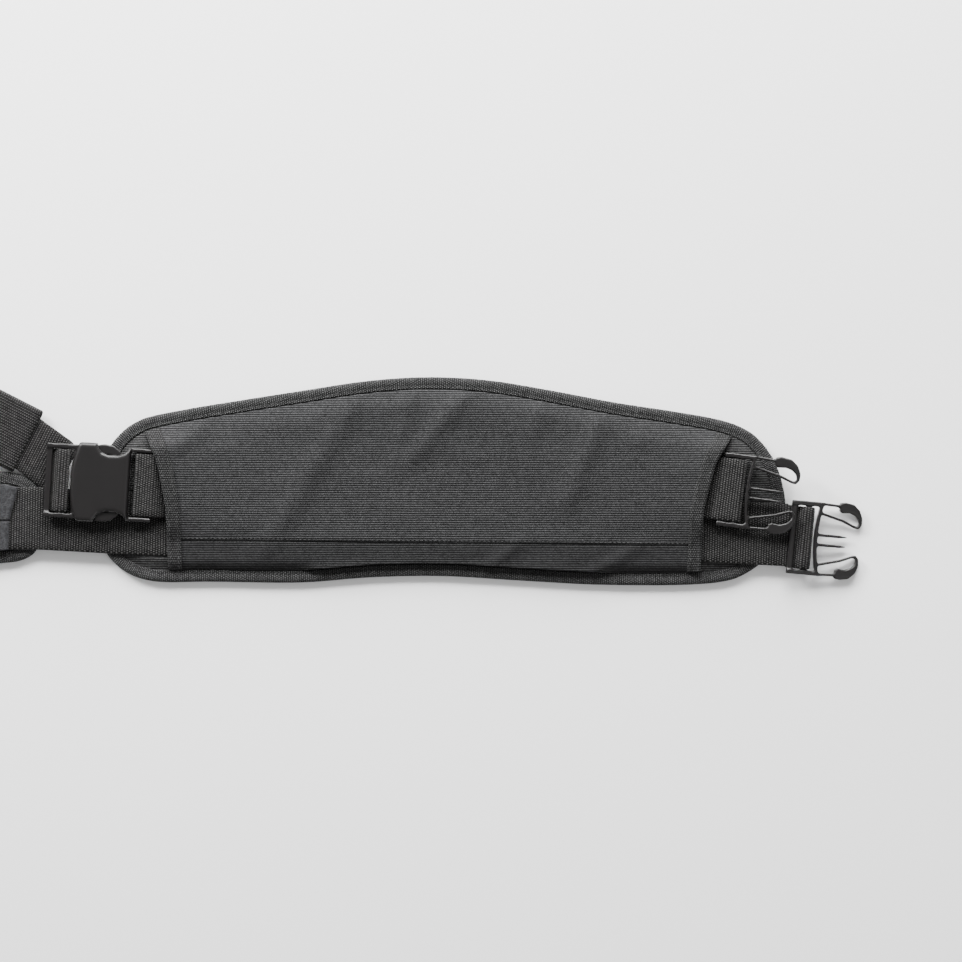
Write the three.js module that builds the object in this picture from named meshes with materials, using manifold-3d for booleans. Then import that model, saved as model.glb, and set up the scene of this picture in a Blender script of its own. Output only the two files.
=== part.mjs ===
// A padded fishing fighting belt, lying open and flat on its back, face up.
// Millimetres, +Z up. The origin is the middle of the hip pad's flat underside,
// +X runs along the belt towards the two open buckle halves, +Y is the wearer's up.
import * as THREE from 'three';
import { mergeVertices } from 'three/addons/utils/BufferGeometryUtils.js';
import Module from 'manifold-3d';

const wasm = await Module();
wasm.setup();

// Clearance between pieces that touch on the real belt
const GAP = 0.3;

// Webbing
const WEB_W = 50;
const WEB_T = 1.8;

// Hip pad
const HIP_L = 552;
const HIP_H = 166.6;
const PAD_T = 10;
const RIM_LOW = 1.5;
const RIM_HIGH = 5.2;
const CROWN_W = 26;
const PAD_FOOT = 3;
const RING_N = 90;

// Front pad, beyond the closed buckle
const FRONT_L = 300;
const FRONT_H = 190;
const PAD_SPACING = 44.5;
const FRONT_RING_N = 62;
const FRONT_CROWN_W = 19;

// Cloth edging and sleeve
const BIND_W = 9.5;
const BIND_T = 1.2;
const BIND_ROUND = 1.2;
const BIND_FOOT = 1;
const COVER_T = 1.2;
const TAPE_W = 11;
const TAPE_T = 1;
const HIP_SEAM = 33.8;
const FRONT_SEAM = -31.7;
const SLEEVE_TOP = 0;
const SEAM_SLOPE = -0.01;

// Buckles, all for the same webbing
const RIM_W = 3.6;
const SLOT_SIDE = 0.9;
const MALE_T = 4.8;
const BAR_T = 3.2;
const BAR_LIFT = 0.3;
const OUTER_BAR_W = 5;
const MIDDLE_BAR_W = 4.4;
const BAR_SPACING = 11.8;
const BAR_REACH = 8.2;
const CROSSBAR_W = 2.8;
const CROSSBAR_BOW = 3.6;
const CROSSBAR_X = -0.9;
const RAIL_END = 2.2;
const BAR_ROOT = 1;
const PRONG_L = 40;
const PRONG_W = 2.2;
const PRONG_INSET = 0.6;
const ARM_START = 1.5;
const ARM_SLOPE = 0.8;
const HEAD_START = 0.48;
const GUIDE_L = 28;
const GUIDE_TIP = 7;
const GUIDE_W = 2.3;
const GUIDE_SPACING = 7.8;
const GUIDE_OFFSET = -0.7;
const GUIDE_INSET = 0.8;
const GUIDE_POINT = 0.3;
const GUIDE_ROOT = -0.5;
const SOCKET_T = 12;
const SOCKET_L = 47.2;
const SOCKET_LID = 2;
const SOCKET_END = 3.4;
const SOCKET_SEAT = 2.4;
const MALE_RISE = 4.2;
const LOOP_TAIL = 8;
const SOCKET_BAR = 2.3;
const SOCKET_BAR_SPACING = 8.2;
const RAIL_LOW = 1;
const RAIL_HIGH = 8;
const RAIL_TAPER = 0.4;
const RAIL_ROOT = 2;
const TAB_L = 60;

// Yoke strap and its keeper
const YOKE_W = 44.5;
const YOKE_LEAN = 27;
const YOKE_SHIFT = 1.25;
const KEEPER_L = 50;

// How finely the curved and the draped pieces are faceted
const MERGE = 1e-4;
const RELIEF_CELL = 2;
const CELL_STRIDE = 100003;
const ARC_STEPS = 8;
const COVER_ROWS = 8;
const COVER_COLUMNS = 38;
const BAND_ROWS = 2;
const FRONT_ROWS = 4;
const FRONT_COLUMNS = 20;
const MEMBRANE_PASSES = 8;
const REACH = 8;
const TAB_ROWS = 3;

// Colours
const CLOTH = 0x4a4a4c;
const EDGING = 0x444446;
const WEBBING = 0x3c3c3b;
const PLASTIC = 0x3a3939;

// Sizes worked out from the ones above
const BIND_TOP = RIM_HIGH + GAP + BIND_T;
const FRAME_IN = WEB_W / 2 + SLOT_SIDE;
const FRAME_OUT = FRAME_IN + RIM_W;
const BEND_R = GAP + WEB_T / 2 + 0.05;
const HIP_LEFT = -HIP_L / 2;
const HIP_RIGHT = HIP_L / 2;
const FRONT_RIGHT = HIP_LEFT - PAD_SPACING;
const FRONT_X = FRONT_RIGHT - FRONT_L / 2;
const TROUGH_MID = PAD_T - WEB_T / 2;

// Outlines, anticlockwise from the left nose: x and y as shares of length and height
const HIP_OUTLINE = [
  { x: -0.4990, y: -0.115 },
  { x: -0.4990, y: -0.225 },
  { x: -0.4945, y: -0.301 },
  { x: -0.4790, y: -0.384 },
  { x: -0.4552, y: -0.447 },
  { x: -0.4200, y: -0.483 },
  { x: -0.3380, y: -0.484 },
  { x: -0.1990, y: -0.488 },
  { x: -0.1065, y: -0.464 },
  { x: -0.0020, y: -0.457 },
  { x: 0.1140, y: -0.479 },
  { x: 0.2300, y: -0.499 },
  { x: 0.3800, y: -0.495 },
  { x: 0.4278, y: -0.470 },
  { x: 0.4592, y: -0.407 },
  { x: 0.4860, y: -0.321 },
  { x: 0.5000, y: -0.162 },
  { x: 0.4885, y: 0.062 },
  { x: 0.4730, y: 0.152 },
  { x: 0.4500, y: 0.234 },
  { x: 0.4150, y: 0.285 },
  { x: 0.3460, y: 0.330 },
  { x: 0.2530, y: 0.377 },
  { x: 0.1600, y: 0.435 },
  { x: 0.0670, y: 0.485 },
  { x: -0.0200, y: 0.500 },
  { x: -0.1065, y: 0.482 },
  { x: -0.1990, y: 0.436 },
  { x: -0.2920, y: 0.388 },
  { x: -0.3850, y: 0.336 },
  { x: -0.4430, y: 0.288 },
  { x: -0.4780, y: 0.186 },
  { x: -0.4935, y: 0.077 },
];
// Right half of the front pad from the bottom middle up; the left half mirrors it
const FRONT_OUTLINE = [
  { x: 0.0000, y: -0.380 },
  { x: 0.2000, y: -0.372 },
  { x: 0.4000, y: -0.346 },
  { x: 0.4420, y: -0.340 },
  { x: 0.4640, y: -0.327 },
  { x: 0.4850, y: -0.306 },
  { x: 0.4960, y: -0.285 },
  { x: 0.5000, y: -0.190 },
  { x: 0.5000, y: -0.060 },
  { x: 0.4977, y: -0.026 },
  { x: 0.4777, y: 0.004 },
  { x: 0.4543, y: 0.026 },
  { x: 0.4280, y: 0.036 },
  { x: 0.3960, y: 0.0405 },
  { x: 0.3500, y: 0.051 },
  { x: 0.2750, y: 0.085 },
  { x: 0.2150, y: 0.230 },
  { x: 0.1750, y: 0.440 },
  { x: 0.1150, y: 0.570 },
  { x: 0.0000, y: 0.620 },
];

// Sleeve tapes: centre line from the pad's top edge down, as distance in from the pad's
// nose over HIP_L and share of the sleeve's height
const LEFT_TAPE = [
  { inset: 0.0790, v: 1 },
  { inset: 0.0990, v: 0.75 },
  { inset: 0.1115, v: 0.42 },
  { inset: 0.1140, v: 0 },
];
const RIGHT_TAPE = [
  { inset: 0.0880, v: 1 },
  { inset: 0.1120, v: 0.78 },
  { inset: 0.1310, v: 0.42 },
  { inset: 0.1345, v: 0 },
];
const FRONT_EDGE = [
  { inset: 0.0586, v: 1 },
  { inset: 0.0642, v: 0.78 },
  { inset: 0.0778, v: 0.55 },
  { inset: 0.0826, v: 0.43 },
  { inset: 0.0858, v: 0 },
];
// Soft creases of the sleeve: x at the top and foot as shares of its length, the stretch
// of its height, width over TAPE_W and rise over COVER_T
const CREASES = [
  { top: 0.336, foot: 0.192, from: 0.00, to: 1.00, wide: 1.3, rise: 1.5 },
  { top: 0.560, foot: 0.430, from: 0.45, to: 1.00, wide: 1.1, rise: 1.5 },
  { top: 0.453, foot: 0.430, from: 0.62, to: 1.00, wide: 0.8, rise: 1.1 },
  { top: 0.815, foot: 0.700, from: 0.20, to: 0.95, wide: 0.9, rise: 1.3 },
  { top: 0.080, foot: -0.02, from: 0.65, to: 0.98, wide: 0.9, rise: 1.2 },
  { top: 0.690, foot: 0.660, from: 0.65, to: 1.00, wide: 0.8, rise: 0.8 },
];

// The crown's rise from the bound rim to the full thickness: shares of its width and height
const CROWN = [
  { in: 0.33, rise: 0.5 },
  { in: 0.64, rise: 0.84 },
];
// Fading of the sleeve's creases, as shares of its height and length
const CREASE_FADE = { foot: 0.2, top: 0.12, ends: 0.06, length: 0.75 };

// Buckle places: x from the hip pad's nearer nose, the rest in millimetres and degrees
const CLOSED_BUCKLE = { x: -20.5, y: 0, turn: -3.5, z: PAD_T + GAP };
const UPPER_MALE = { x: -31, y: -8.8, turn: -7, z: PAD_T + 3.5, droop: -2.4 };
const LOWER_MALE = { x: 23.6, y: -46.3, turn: -5.3, droop: 9.5, reach: 0.9 };
// Far sockets: the lower mouth's distance from the front pad, both mouths' y, upper one's x
const FAR_SOCKETS = { reach: 14, lowerY: -33, upperX: 10, upperY: 60 };

// Geometry helpers

// A closed body from vertices and quads or triangles, turned so that its faces point out
function body(points, faces) {
  const position = [];
  const triangles = [];
  for (const face of faces) {
    for (let i = 1; i + 1 < face.length; i += 1) triangles.push([face[0], face[i], face[i + 1]]);
  }
  let volume = 0;
  for (const [a, b, c] of triangles) volume += points[a].dot(points[b].clone().cross(points[c]));
  for (const [a, b, c] of triangles) {
    for (const index of volume > 0 ? [a, b, c] : [a, c, b]) position.push(...points[index].toArray());
  }
  const geometry = new THREE.BufferGeometry();
  geometry.setAttribute('position', new THREE.Float32BufferAttribute(position, 3));
  return geometry;
}

function toManifold(geometry) {
  const bare = geometry.clone();
  bare.deleteAttribute('normal');
  bare.deleteAttribute('uv');
  const merged = mergeVertices(bare, MERGE);
  return new wasm.Manifold(new wasm.Mesh({
    numProp: 3,
    vertProperties: new Float32Array(merged.attributes.position.array),
    triVerts: new Uint32Array(merged.index.array),
  }));
}

function toGeometry(solid) {
  const mesh = solid.getMesh();
  const geometry = new THREE.BufferGeometry();
  geometry.setAttribute('position', new THREE.BufferAttribute(mesh.vertProperties, 3));
  geometry.setIndex(new THREE.BufferAttribute(mesh.triVerts, 1));
  return geometry;
}

// A plate: the outline points [x, y], from z0 up to z1
function plate(points, z0, z1) {
  const shape = new THREE.Shape(points.map(([x, y]) => new THREE.Vector2(x, y)));
  const geometry = new THREE.ExtrudeGeometry(shape, { depth: z1 - z0, bevelEnabled: false });
  return toManifold(geometry.translate(0, 0, z0));
}

function block(x0, x1, y0, y1, z0, z1) {
  return plate([[x0, y0], [x1, y0], [x1, y1], [x0, y1]], z0, z1);
}

function join(solids) {
  return solids.reduce((all, next) => all.add(next));
}

// A closed smooth outline, sampled evenly
function outline(table, length, height, middle, count) {
  const knots = table.map(({ x, y }) => new THREE.Vector3(middle + x * length, y * height, 0));
  const curve = new THREE.CatmullRomCurve3(knots, true, 'centripetal');
  return curve.getSpacedPoints(count).slice(0, count);
}

// The outline moved inwards by a distance
function inset(ring, distance) {
  const n = ring.length;
  return ring.map((point, i) => {
    const before = point.clone().sub(ring[(i + n - 1) % n]).normalize();
    const after = ring[(i + 1) % n].clone().sub(point).normalize();
    const normal = new THREE.Vector3(-before.y - after.y, before.x + after.x, 0).normalize();
    const miter = 1 / Math.max(0.5, Math.abs(normal.x * -before.y + normal.y * before.x));
    return point.clone().addScaledVector(normal, distance * miter);
  });
}

// Rings stacked by a section of { in, z } rows: closed on itself, or capped with flat faces
function ringBody(ring, section, closed) {
  const n = ring.length;
  const points = section.flatMap((row) => inset(ring, row.in).map((p) => p.setZ(row.z)));
  const faces = [];
  const rows = closed ? section.length : section.length - 1;
  for (let r = 0; r < rows; r += 1) {
    const next = (r + 1) % section.length;
    for (let i = 0; i < n; i += 1) {
      const j = (i + 1) % n;
      faces.push([r * n + i, r * n + j, next * n + j, next * n + i]);
    }
  }
  if (!closed) {
    for (const row of [0, section.length - 1]) {
      const flat = points.slice(row * n, row * n + n).map((p) => new THREE.Vector2(p.x, p.y));
      for (const triangle of THREE.ShapeUtils.triangulateShape(flat, [])) {
        const face = triangle.map((i) => row * n + i);
        faces.push(row === 0 ? face.reverse() : face);
      }
    }
  }
  return body(points, faces);
}

// A slab of cloth between a grid of top points and the same grid of underside points
function slab(top, under) {
  const rows = top.length;
  const across = top[0].length;
  const points = [...top.flat(), ...under.flat()];
  const upper = (r, c) => r * across + c;
  const lower = (r, c) => rows * across + r * across + c;
  const faces = [];
  for (let r = 0; r + 1 < rows; r += 1) {
    for (let c = 0; c + 1 < across; c += 1) {
      faces.push([upper(r, c), upper(r + 1, c), upper(r + 1, c + 1), upper(r, c + 1)]);
      faces.push([lower(r, c), lower(r, c + 1), lower(r + 1, c + 1), lower(r + 1, c)]);
    }
    for (const c of [0, across - 1]) {
      const side = [upper(r, c), lower(r, c), lower(r + 1, c), upper(r + 1, c)];
      faces.push(c === 0 ? side : side.reverse());
    }
  }
  for (let c = 0; c + 1 < across; c += 1) {
    for (const r of [0, rows - 1]) {
      const end = [upper(r, c), upper(r, c + 1), lower(r, c + 1), lower(r, c)];
      faces.push(r === 0 ? end : end.reverse());
    }
  }
  return body(points, faces);
}

// Webbing along a path of { p, side }: p is the middle of its thickness
function webbing(path, width, thick) {
  const top = [];
  const under = [];
  path.forEach(({ p, side }, i) => {
    const before = p.clone().sub(path[Math.max(0, i - 1)].p).normalize();
    const after = path[Math.min(path.length - 1, i + 1)].p.clone().sub(p).normalize();
    const along = before.clone().add(after).normalize();
    const up = side.clone().cross(along).normalize();
    const bend = i === 0 || i === path.length - 1 ? 1 : Math.sqrt((1 + before.dot(after)) / 2);
    const half = up.multiplyScalar(thick / 2 / Math.max(0.6, bend));
    const edges = [-width / 2, width / 2].map((w) => p.clone().addScaledVector(side, w));
    top.push(edges.map((edge) => edge.clone().add(half)));
    under.push(edges.map((edge) => edge.clone().sub(half)));
  });
  return slab(top, under);
}

// How high the pieces laid so far reach, on a grid of small cells
class Relief {
  constructor() {
    this.cell = RELIEF_CELL;
    this.cells = new Map();
  }

  add(geometry) {
    const soup = geometry.index ? geometry.toNonIndexed() : geometry;
    const position = soup.attributes.position;
    const corner = [0, 1, 2].map(() => new THREE.Vector3());
    for (let i = 0; i < position.count; i += 3) {
      corner.forEach((v, k) => v.fromBufferAttribute(position, i + k));
      this.mark(...corner);
    }
    return this;
  }

  mark(a, b, c) {
    const size = Math.max(a.distanceTo(b), b.distanceTo(c), c.distanceTo(a));
    const steps = Math.max(1, Math.ceil(size / this.cell));
    for (let i = 0; i <= steps; i += 1) {
      for (let j = 0; i + j <= steps; j += 1) {
        const u = i / steps;
        const v = j / steps;
        const w = 1 - u - v;
        const x = Math.round((a.x * w + b.x * u + c.x * v) / this.cell);
        const y = Math.round((a.y * w + b.y * u + c.y * v) / this.cell);
        const z = a.z * w + b.z * u + c.z * v;
        const key = x * CELL_STRIDE + y;
        this.cells.set(key, Math.max(z, this.cells.get(key) ?? 0));
      }
    }
  }

  top(x, y, reach) {
    const span = Math.ceil(reach / this.cell);
    const col = Math.round(x / this.cell);
    const row = Math.round(y / this.cell);
    let height = 0;
    for (let i = -span; i <= span; i += 1) {
      for (let j = -span; j <= span; j += 1) {
        height = Math.max(height, this.cells.get((col + i) * CELL_STRIDE + row + j) ?? 0);
      }
    }
    return height;
  }
}

// A level side direction, leaning by an angle from +Y towards +X
function sideAt(degrees) {
  const angle = THREE.MathUtils.degToRad(degrees);
  return new THREE.Vector3(Math.sin(angle), Math.cos(angle), 0);
}

// A buckle's place as a matrix: turned in plan, with a droop about its own crosswise axis
function place(x, y, z, turn, droop = 0) {
  const matrix = new THREE.Matrix4().makeTranslation(x, y, z);
  matrix.multiply(new THREE.Matrix4().makeRotationZ(THREE.MathUtils.degToRad(turn)));
  return matrix.multiply(new THREE.Matrix4().makeRotationY(THREE.MathUtils.degToRad(droop)));
}

// Round stretch of a webbing loop about the corner (x, z) of a bar
function roundCorner(x, z, from, to) {
  return [from, (from + to) / 2, to].map((degrees) => {
    const angle = THREE.MathUtils.degToRad(degrees);
    return [x + BEND_R * Math.cos(angle), z + BEND_R * Math.sin(angle)];
  });
}

// Heights of webbing in a buckle's own frame
const BAR_TOP = BAR_LIFT + BAR_T;
const OVER_BAR = BAR_TOP + BEND_R;
const UNDER_BAR = BAR_LIFT - BEND_R;
const UNDER_TAIL = UNDER_BAR - WEB_T - GAP;

// Webbing that lies over the outer bar and turns down round the middle bar, as [x, z]
function overLoop(outer, middle, tail) {
  const edge = middle + MIDDLE_BAR_W / 2;
  return [
    [outer - OUTER_BAR_W / 2, OVER_BAR],
    ...roundCorner(edge, BAR_TOP, 90, 0),
    ...roundCorner(edge, BAR_LIFT, 0, -90),
    [outer - OUTER_BAR_W / 2 - tail, UNDER_BAR],
  ];
}

// Webbing that passes under the outer bar, rises over the middle bar and turns back under
function underLoop(outer, middle, tail) {
  const near = middle - MIDDLE_BAR_W / 2;
  const far = middle + MIDDLE_BAR_W / 2;
  const inner = outer + OUTER_BAR_W / 2;
  return [
    [outer - OUTER_BAR_W / 2, UNDER_BAR],
    ...roundCorner(inner, BAR_LIFT, -90, -45).slice(0, 2),
    ...roundCorner(near, BAR_TOP, 135, 90).slice(1),
    ...roundCorner(far, BAR_TOP, 90, 0),
    ...roundCorner(far, BAR_LIFT, 0, -90),
    [inner + WEB_T, UNDER_TAIL],
    [outer - OUTER_BAR_W / 2 - tail, UNDER_TAIL],
  ];
}

// A loop's [x, z] points as a path in the world; mirrored where the strap comes from +x
function loopPath(points, matrix, mirrored = false) {
  const turn = new THREE.Quaternion().setFromRotationMatrix(matrix);
  const side = new THREE.Vector3(0, 1, 0).applyQuaternion(turn);
  return points.map(([x, z]) => ({
    p: new THREE.Vector3(mirrored ? -x : x, 0, z).applyMatrix4(matrix),
    side,
  }));
}

// Buckles

// One bar of the frame that holds the webbing
function bar(middle, width) {
  const side = FRAME_OUT - BAR_ROOT;
  return block(middle - width / 2, middle + width / 2, -side, side, BAR_LIFT, BAR_TOP);
}

const MALE_MIDDLE = -BAR_REACH;
const MALE_OUTER = MALE_MIDDLE - BAR_SPACING;

// The bowed crossbar that carries the prongs
function crossbar() {
  const edge = (offset) => Array.from({ length: ARC_STEPS + 1 }, (_, i) => {
    const share = (2 * i) / ARC_STEPS - 1;
    return [CROSSBAR_X + CROSSBAR_BOW * share * share + offset, share * FRAME_OUT];
  });
  return plate([...edge(CROSSBAR_W / 2), ...edge(-CROSSBAR_W / 2).reverse()], 0, MALE_T);
}

// Barbed head of a prong: x over PRONG_L, y over FRAME_OUT
const HEAD = [
  { x: 0.470, y: 0.930 }, { x: 0.472, y: 1.030 }, { x: 0.592, y: 1.055 }, { x: 0.788, y: 1.015 },
  { x: 0.925, y: 0.865 }, { x: 1.000, y: 0.655 }, { x: 0.995, y: 0.472 }, { x: 0.935, y: 0.366 },
  { x: 0.885, y: 0.385 }, { x: 0.930, y: 0.500 }, { x: 0.905, y: 0.620 }, { x: 0.815, y: 0.720 },
  { x: 0.700, y: 0.771 }, { x: 0.528, y: 0.750 }, { x: 0.468, y: 0.796 },
];
const SPRING_LEAF = [
  { x: 0.03, y: 0.710 }, { x: 0.57, y: 0.542 }, { x: 0.83, y: 0.410 }, { x: 0.92, y: 0.390 },
];

function prong(reach) {
  const scaled = (rows) => rows.map(({ x, y }) => [x * reach, y * FRAME_OUT]);
  const leaf = scaled(SPRING_LEAF);
  const shifted = (side) => leaf.map(([x, y]) => [x, y + (side * PRONG_W) / 2]);
  const arm = FRAME_OUT - PRONG_W;
  const end = HEAD_START * reach;
  const armRows = [
    [ARM_START, arm], [end, arm - ARM_SLOPE], [end, FRAME_OUT - ARM_SLOPE], [ARM_START, FRAME_OUT],
  ];
  const thin = (rows) => plate(rows, PRONG_INSET, MALE_T - PRONG_INSET);
  return join([
    plate(scaled(HEAD), 0, MALE_T),
    thin(armRows),
    thin([...shifted(-1), ...shifted(1).reverse()]),
  ]);
}

// The half with prongs: webbing frame at -x, prongs at +x, its underside at z = 0
function male(reach) {
  const start = MALE_OUTER - OUTER_BAR_W / 2;
  const guides = [-1, 1].map((s) => {
    const y = (s * GUIDE_SPACING) / 2 + GUIDE_OFFSET;
    const tip = GUIDE_L * (reach / PRONG_L);
    const low = y - GUIDE_W / 2;
    const high = y + GUIDE_W / 2;
    const rows = [
      [GUIDE_ROOT, low], [tip - GUIDE_TIP, low], [tip, y - GUIDE_POINT],
      [tip, y + GUIDE_POINT], [tip - GUIDE_TIP, high], [GUIDE_ROOT, high],
    ];
    return plate(rows, GUIDE_INSET, MALE_T - GUIDE_INSET);
  });
  const upper = prong(reach);
  return join([
    crossbar(),
    bar(MALE_OUTER, OUTER_BAR_W),
    bar(MALE_MIDDLE, MIDDLE_BAR_W),
    block(start, RAIL_END, FRAME_IN, FRAME_OUT, 0, MALE_T),
    block(start, RAIL_END, -FRAME_OUT, -FRAME_IN, 0, MALE_T),
    ...guides,
    upper,
    upper.mirror([0, 1, 0]),
  ]);
}

// Half outline of the socket's housing: x over SOCKET_L, y past the male half's frame
const HOUSING = [
  { x: 0.108, out: 0.2 }, { x: 0.150, out: 2.2 }, { x: 0.430, out: 2.2 }, { x: 0.452, out: -0.2 },
  { x: 0.520, out: -4.8 }, { x: 0.635, out: -6.6 }, { x: 0.790, out: -6.4 }, { x: 0.910, out: -4.2 },
  { x: 1.000, out: -0.6 },
];
const SOCKET_MIDDLE = SOCKET_L + BAR_REACH;
const SOCKET_OUTER = SOCKET_MIDDLE + SOCKET_BAR_SPACING;

// The half with the mouth: the mouth at x = 0, the webbing frame at +x, its underside at z = 0
function socket() {
  const half = HOUSING.map(({ x, out }) => [x * SOCKET_L, FRAME_OUT + out]);
  const mouth = Array.from({ length: ARC_STEPS - 1 }, (_, i) => {
    const share = (2 * (i + 1)) / ARC_STEPS - 1;
    return [HOUSING[0].x * SOCKET_L * share * share, share * (FRAME_OUT + HOUSING[0].out)];
  });
  const below = half.map(([x, y]) => [x, -y]);
  const housing = plate([...below, ...half.reverse(), ...mouth.reverse()], 0, SOCKET_T);
  const room = FRAME_OUT + GAP;
  const hollow = block(-SOCKET_L, SOCKET_L - SOCKET_END, -room, room, SOCKET_LID, SOCKET_T - SOCKET_LID);
  const root = SOCKET_L - RAIL_ROOT;
  const end = SOCKET_OUTER + OUTER_BAR_W / 2;
  const rim = (sign) => {
    const rows = [
      [root, FRAME_IN], [end, FRAME_IN], [end, FRAME_OUT - RAIL_TAPER], [root, FRAME_OUT],
    ];
    return plate(sign > 0 ? rows : rows.map(([x, y]) => [x, -y]), RAIL_LOW, RAIL_HIGH);
  };
  const frame = join([bar(SOCKET_OUTER, OUTER_BAR_W), bar(SOCKET_MIDDLE, MIDDLE_BAR_W)]);
  return join([housing.subtract(hollow), rim(1), rim(-1), frame.translate([0, 0, SOCKET_BAR])]);
}

// Pads and their bound edges

// The crown rises from the bound rim to the pad's full thickness over a width
const crownRows = (width) => [
  { in: BIND_W + GAP, z: RIM_HIGH },
  ...CROWN.map((row) => ({
    in: BIND_W + row.in * (width - BIND_W),
    z: RIM_HIGH + row.rise * (PAD_T - RIM_HIGH),
  })),
  { in: width, z: PAD_T },
];
const padSection = (width) => [
  { in: BIND_W + PAD_FOOT, z: 0 },
  { in: BIND_W + GAP, z: RIM_LOW },
  { in: BIND_T + GAP, z: RIM_LOW },
  { in: BIND_T + GAP, z: RIM_HIGH },
  ...crownRows(width),
];
const BIND_SECTION = [
  { in: BIND_W, z: 0 },
  { in: BIND_FOOT, z: 0 },
  { in: 0, z: BIND_ROUND },
  { in: 0, z: BIND_TOP - BIND_ROUND },
  { in: BIND_ROUND, z: BIND_TOP },
  { in: BIND_W, z: BIND_TOP },
  { in: BIND_W, z: RIM_HIGH + GAP },
  { in: BIND_T, z: RIM_HIGH + GAP },
  { in: BIND_T, z: RIM_LOW - GAP },
  { in: BIND_W, z: RIM_LOW - GAP },
];

const frontTable = [
  ...FRONT_OUTLINE.slice(3),
  ...FRONT_OUTLINE.slice(0, -1).reverse().map(({ x, y }) => ({ x: -x, y })),
  ...FRONT_OUTLINE.slice(1, 3),
];
const hipRing = outline(HIP_OUTLINE, HIP_L, HIP_H, 0, RING_N);
const frontRing = outline(frontTable, FRONT_L, FRONT_H, FRONT_X, FRONT_RING_N);

// Straps

// The belt strap in plan from the far end to the open half: x from a pad's middle or nose
const BELT = [
  { x: FRONT_X - FRONT_L / 2, y: -31 },
  { x: FRONT_X, y: -28.5 },
  { x: FRONT_RIGHT, y: -30 },
  { x: HIP_LEFT, y: -32.5 },
  { x: HIP_LEFT + 57, y: -35.2 },
  { x: HIP_RIGHT - 66, y: -39.8 },
  { x: HIP_RIGHT, y: -43.2 },
];
const lowerReach = LOWER_MALE.reach * PRONG_L;
const lowerMale = place(
  HIP_RIGHT + LOWER_MALE.x,
  LOWER_MALE.y,
  lowerReach * Math.sin(THREE.MathUtils.degToRad(LOWER_MALE.droop)),
  LOWER_MALE.turn,
  LOWER_MALE.droop,
);
const upperPlace = [HIP_RIGHT + UPPER_MALE.x, UPPER_MALE.y, UPPER_MALE.z, UPPER_MALE.turn];
const upperMale = place(...upperPlace, UPPER_MALE.droop);
const leftSocket = place(
  HIP_LEFT + CLOSED_BUCKLE.x,
  CLOSED_BUCKLE.y,
  CLOSED_BUCKLE.z,
  CLOSED_BUCKLE.turn,
);
const seat = new THREE.Matrix4().makeTranslation(SOCKET_SEAT, 0, MALE_RISE);
const leftMale = leftSocket.clone().multiply(seat);
const farMouth = FRONT_X - FRONT_L / 2 - SOCKET_OUTER - FAR_SOCKETS.reach;
const farLower = place(farMouth, FAR_SOCKETS.lowerY, 0, 0);
const farUpper = place(farMouth + FAR_SOCKETS.upperX, FAR_SOCKETS.upperY, 0, 0);
const barRise = new THREE.Matrix4().makeTranslation(0, 0, SOCKET_BAR);
const barsOf = (matrix) => matrix.clone().multiply(barRise);

// Stations of { x, y, z } as a path whose sides lie square to it in plan
function run(stations) {
  const points = stations.map(({ x, y, z }) => new THREE.Vector3(x, y, z));
  return points.map((p, i) => {
    const from = points[Math.max(0, i - 1)];
    const to = points[Math.min(points.length - 1, i + 1)];
    return { p, side: new THREE.Vector3(from.y - to.y, to.x - from.x, 0).normalize() };
  });
}

const beltRun = run(BELT.map((row) => ({ ...row, z: TROUGH_MID })));
const farLoop = loopPath(overLoop(-SOCKET_OUTER, -SOCKET_MIDDLE, LOOP_TAIL), barsOf(farLower), true);
const beltPath = [
  ...farLoop.reverse(),
  ...beltRun,
  ...loopPath(underLoop(MALE_OUTER, MALE_MIDDLE, -OUTER_BAR_W), lowerMale),
];
const beltStrap = webbing(beltPath, WEB_W, WEB_T);

// The shallow bed that the belt strap presses into each pad
const bedSide = WEB_W / 2 + 2 * GAP;
const bedAt = (height) => beltRun.map(({ p, side }) => [-bedSide, bedSide].map(
  (w) => p.clone().addScaledVector(side, w).setZ(height),
));
const bed = toManifold(slab(bedAt(2 * PAD_T), bedAt(PAD_T - WEB_T - GAP)));
const padBody = (ring, crown) => {
  const cushion = toManifold(ringBody(ring, padSection(crown), false));
  return toGeometry(cushion.subtract(bed));
};

// A short strap from inside the sleeve, over the buckle's outer bar and back under it
function tab(outer, middle, rest) {
  const tail = outer - OUTER_BAR_W / 2 - LOOP_TAIL;
  return [
    [tail - TAB_L, rest],
    [tail - 2.5 * WEB_T, rest],
    [tail - 2 * GAP, rest + WEB_T + 2 * GAP],
    ...overLoop(outer, middle, LOOP_TAIL),
  ];
}
const onPad = PAD_T + GAP + WEB_T / 2;
const rightTab = tab(MALE_OUTER, MALE_MIDDLE, onPad - UPPER_MALE.z);
const leftTab = tab(-SOCKET_OUTER, -SOCKET_MIDDLE, onPad - CLOSED_BUCKLE.z - SOCKET_BAR);
const upperRight = webbing([
  ...loopPath(rightTab.slice(0, TAB_ROWS), place(...upperPlace)),
  ...loopPath(rightTab.slice(TAB_ROWS), upperMale),
], WEB_W, WEB_T);
const upperLeft = webbing(loopPath(leftTab, barsOf(leftSocket), true), WEB_W, WEB_T);
const shortLoop = underLoop(MALE_OUTER, MALE_MIDDLE, -OUTER_BAR_W);
const maleLoop = webbing(loopPath(shortLoop, leftMale), WEB_W, WEB_T);

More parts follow.
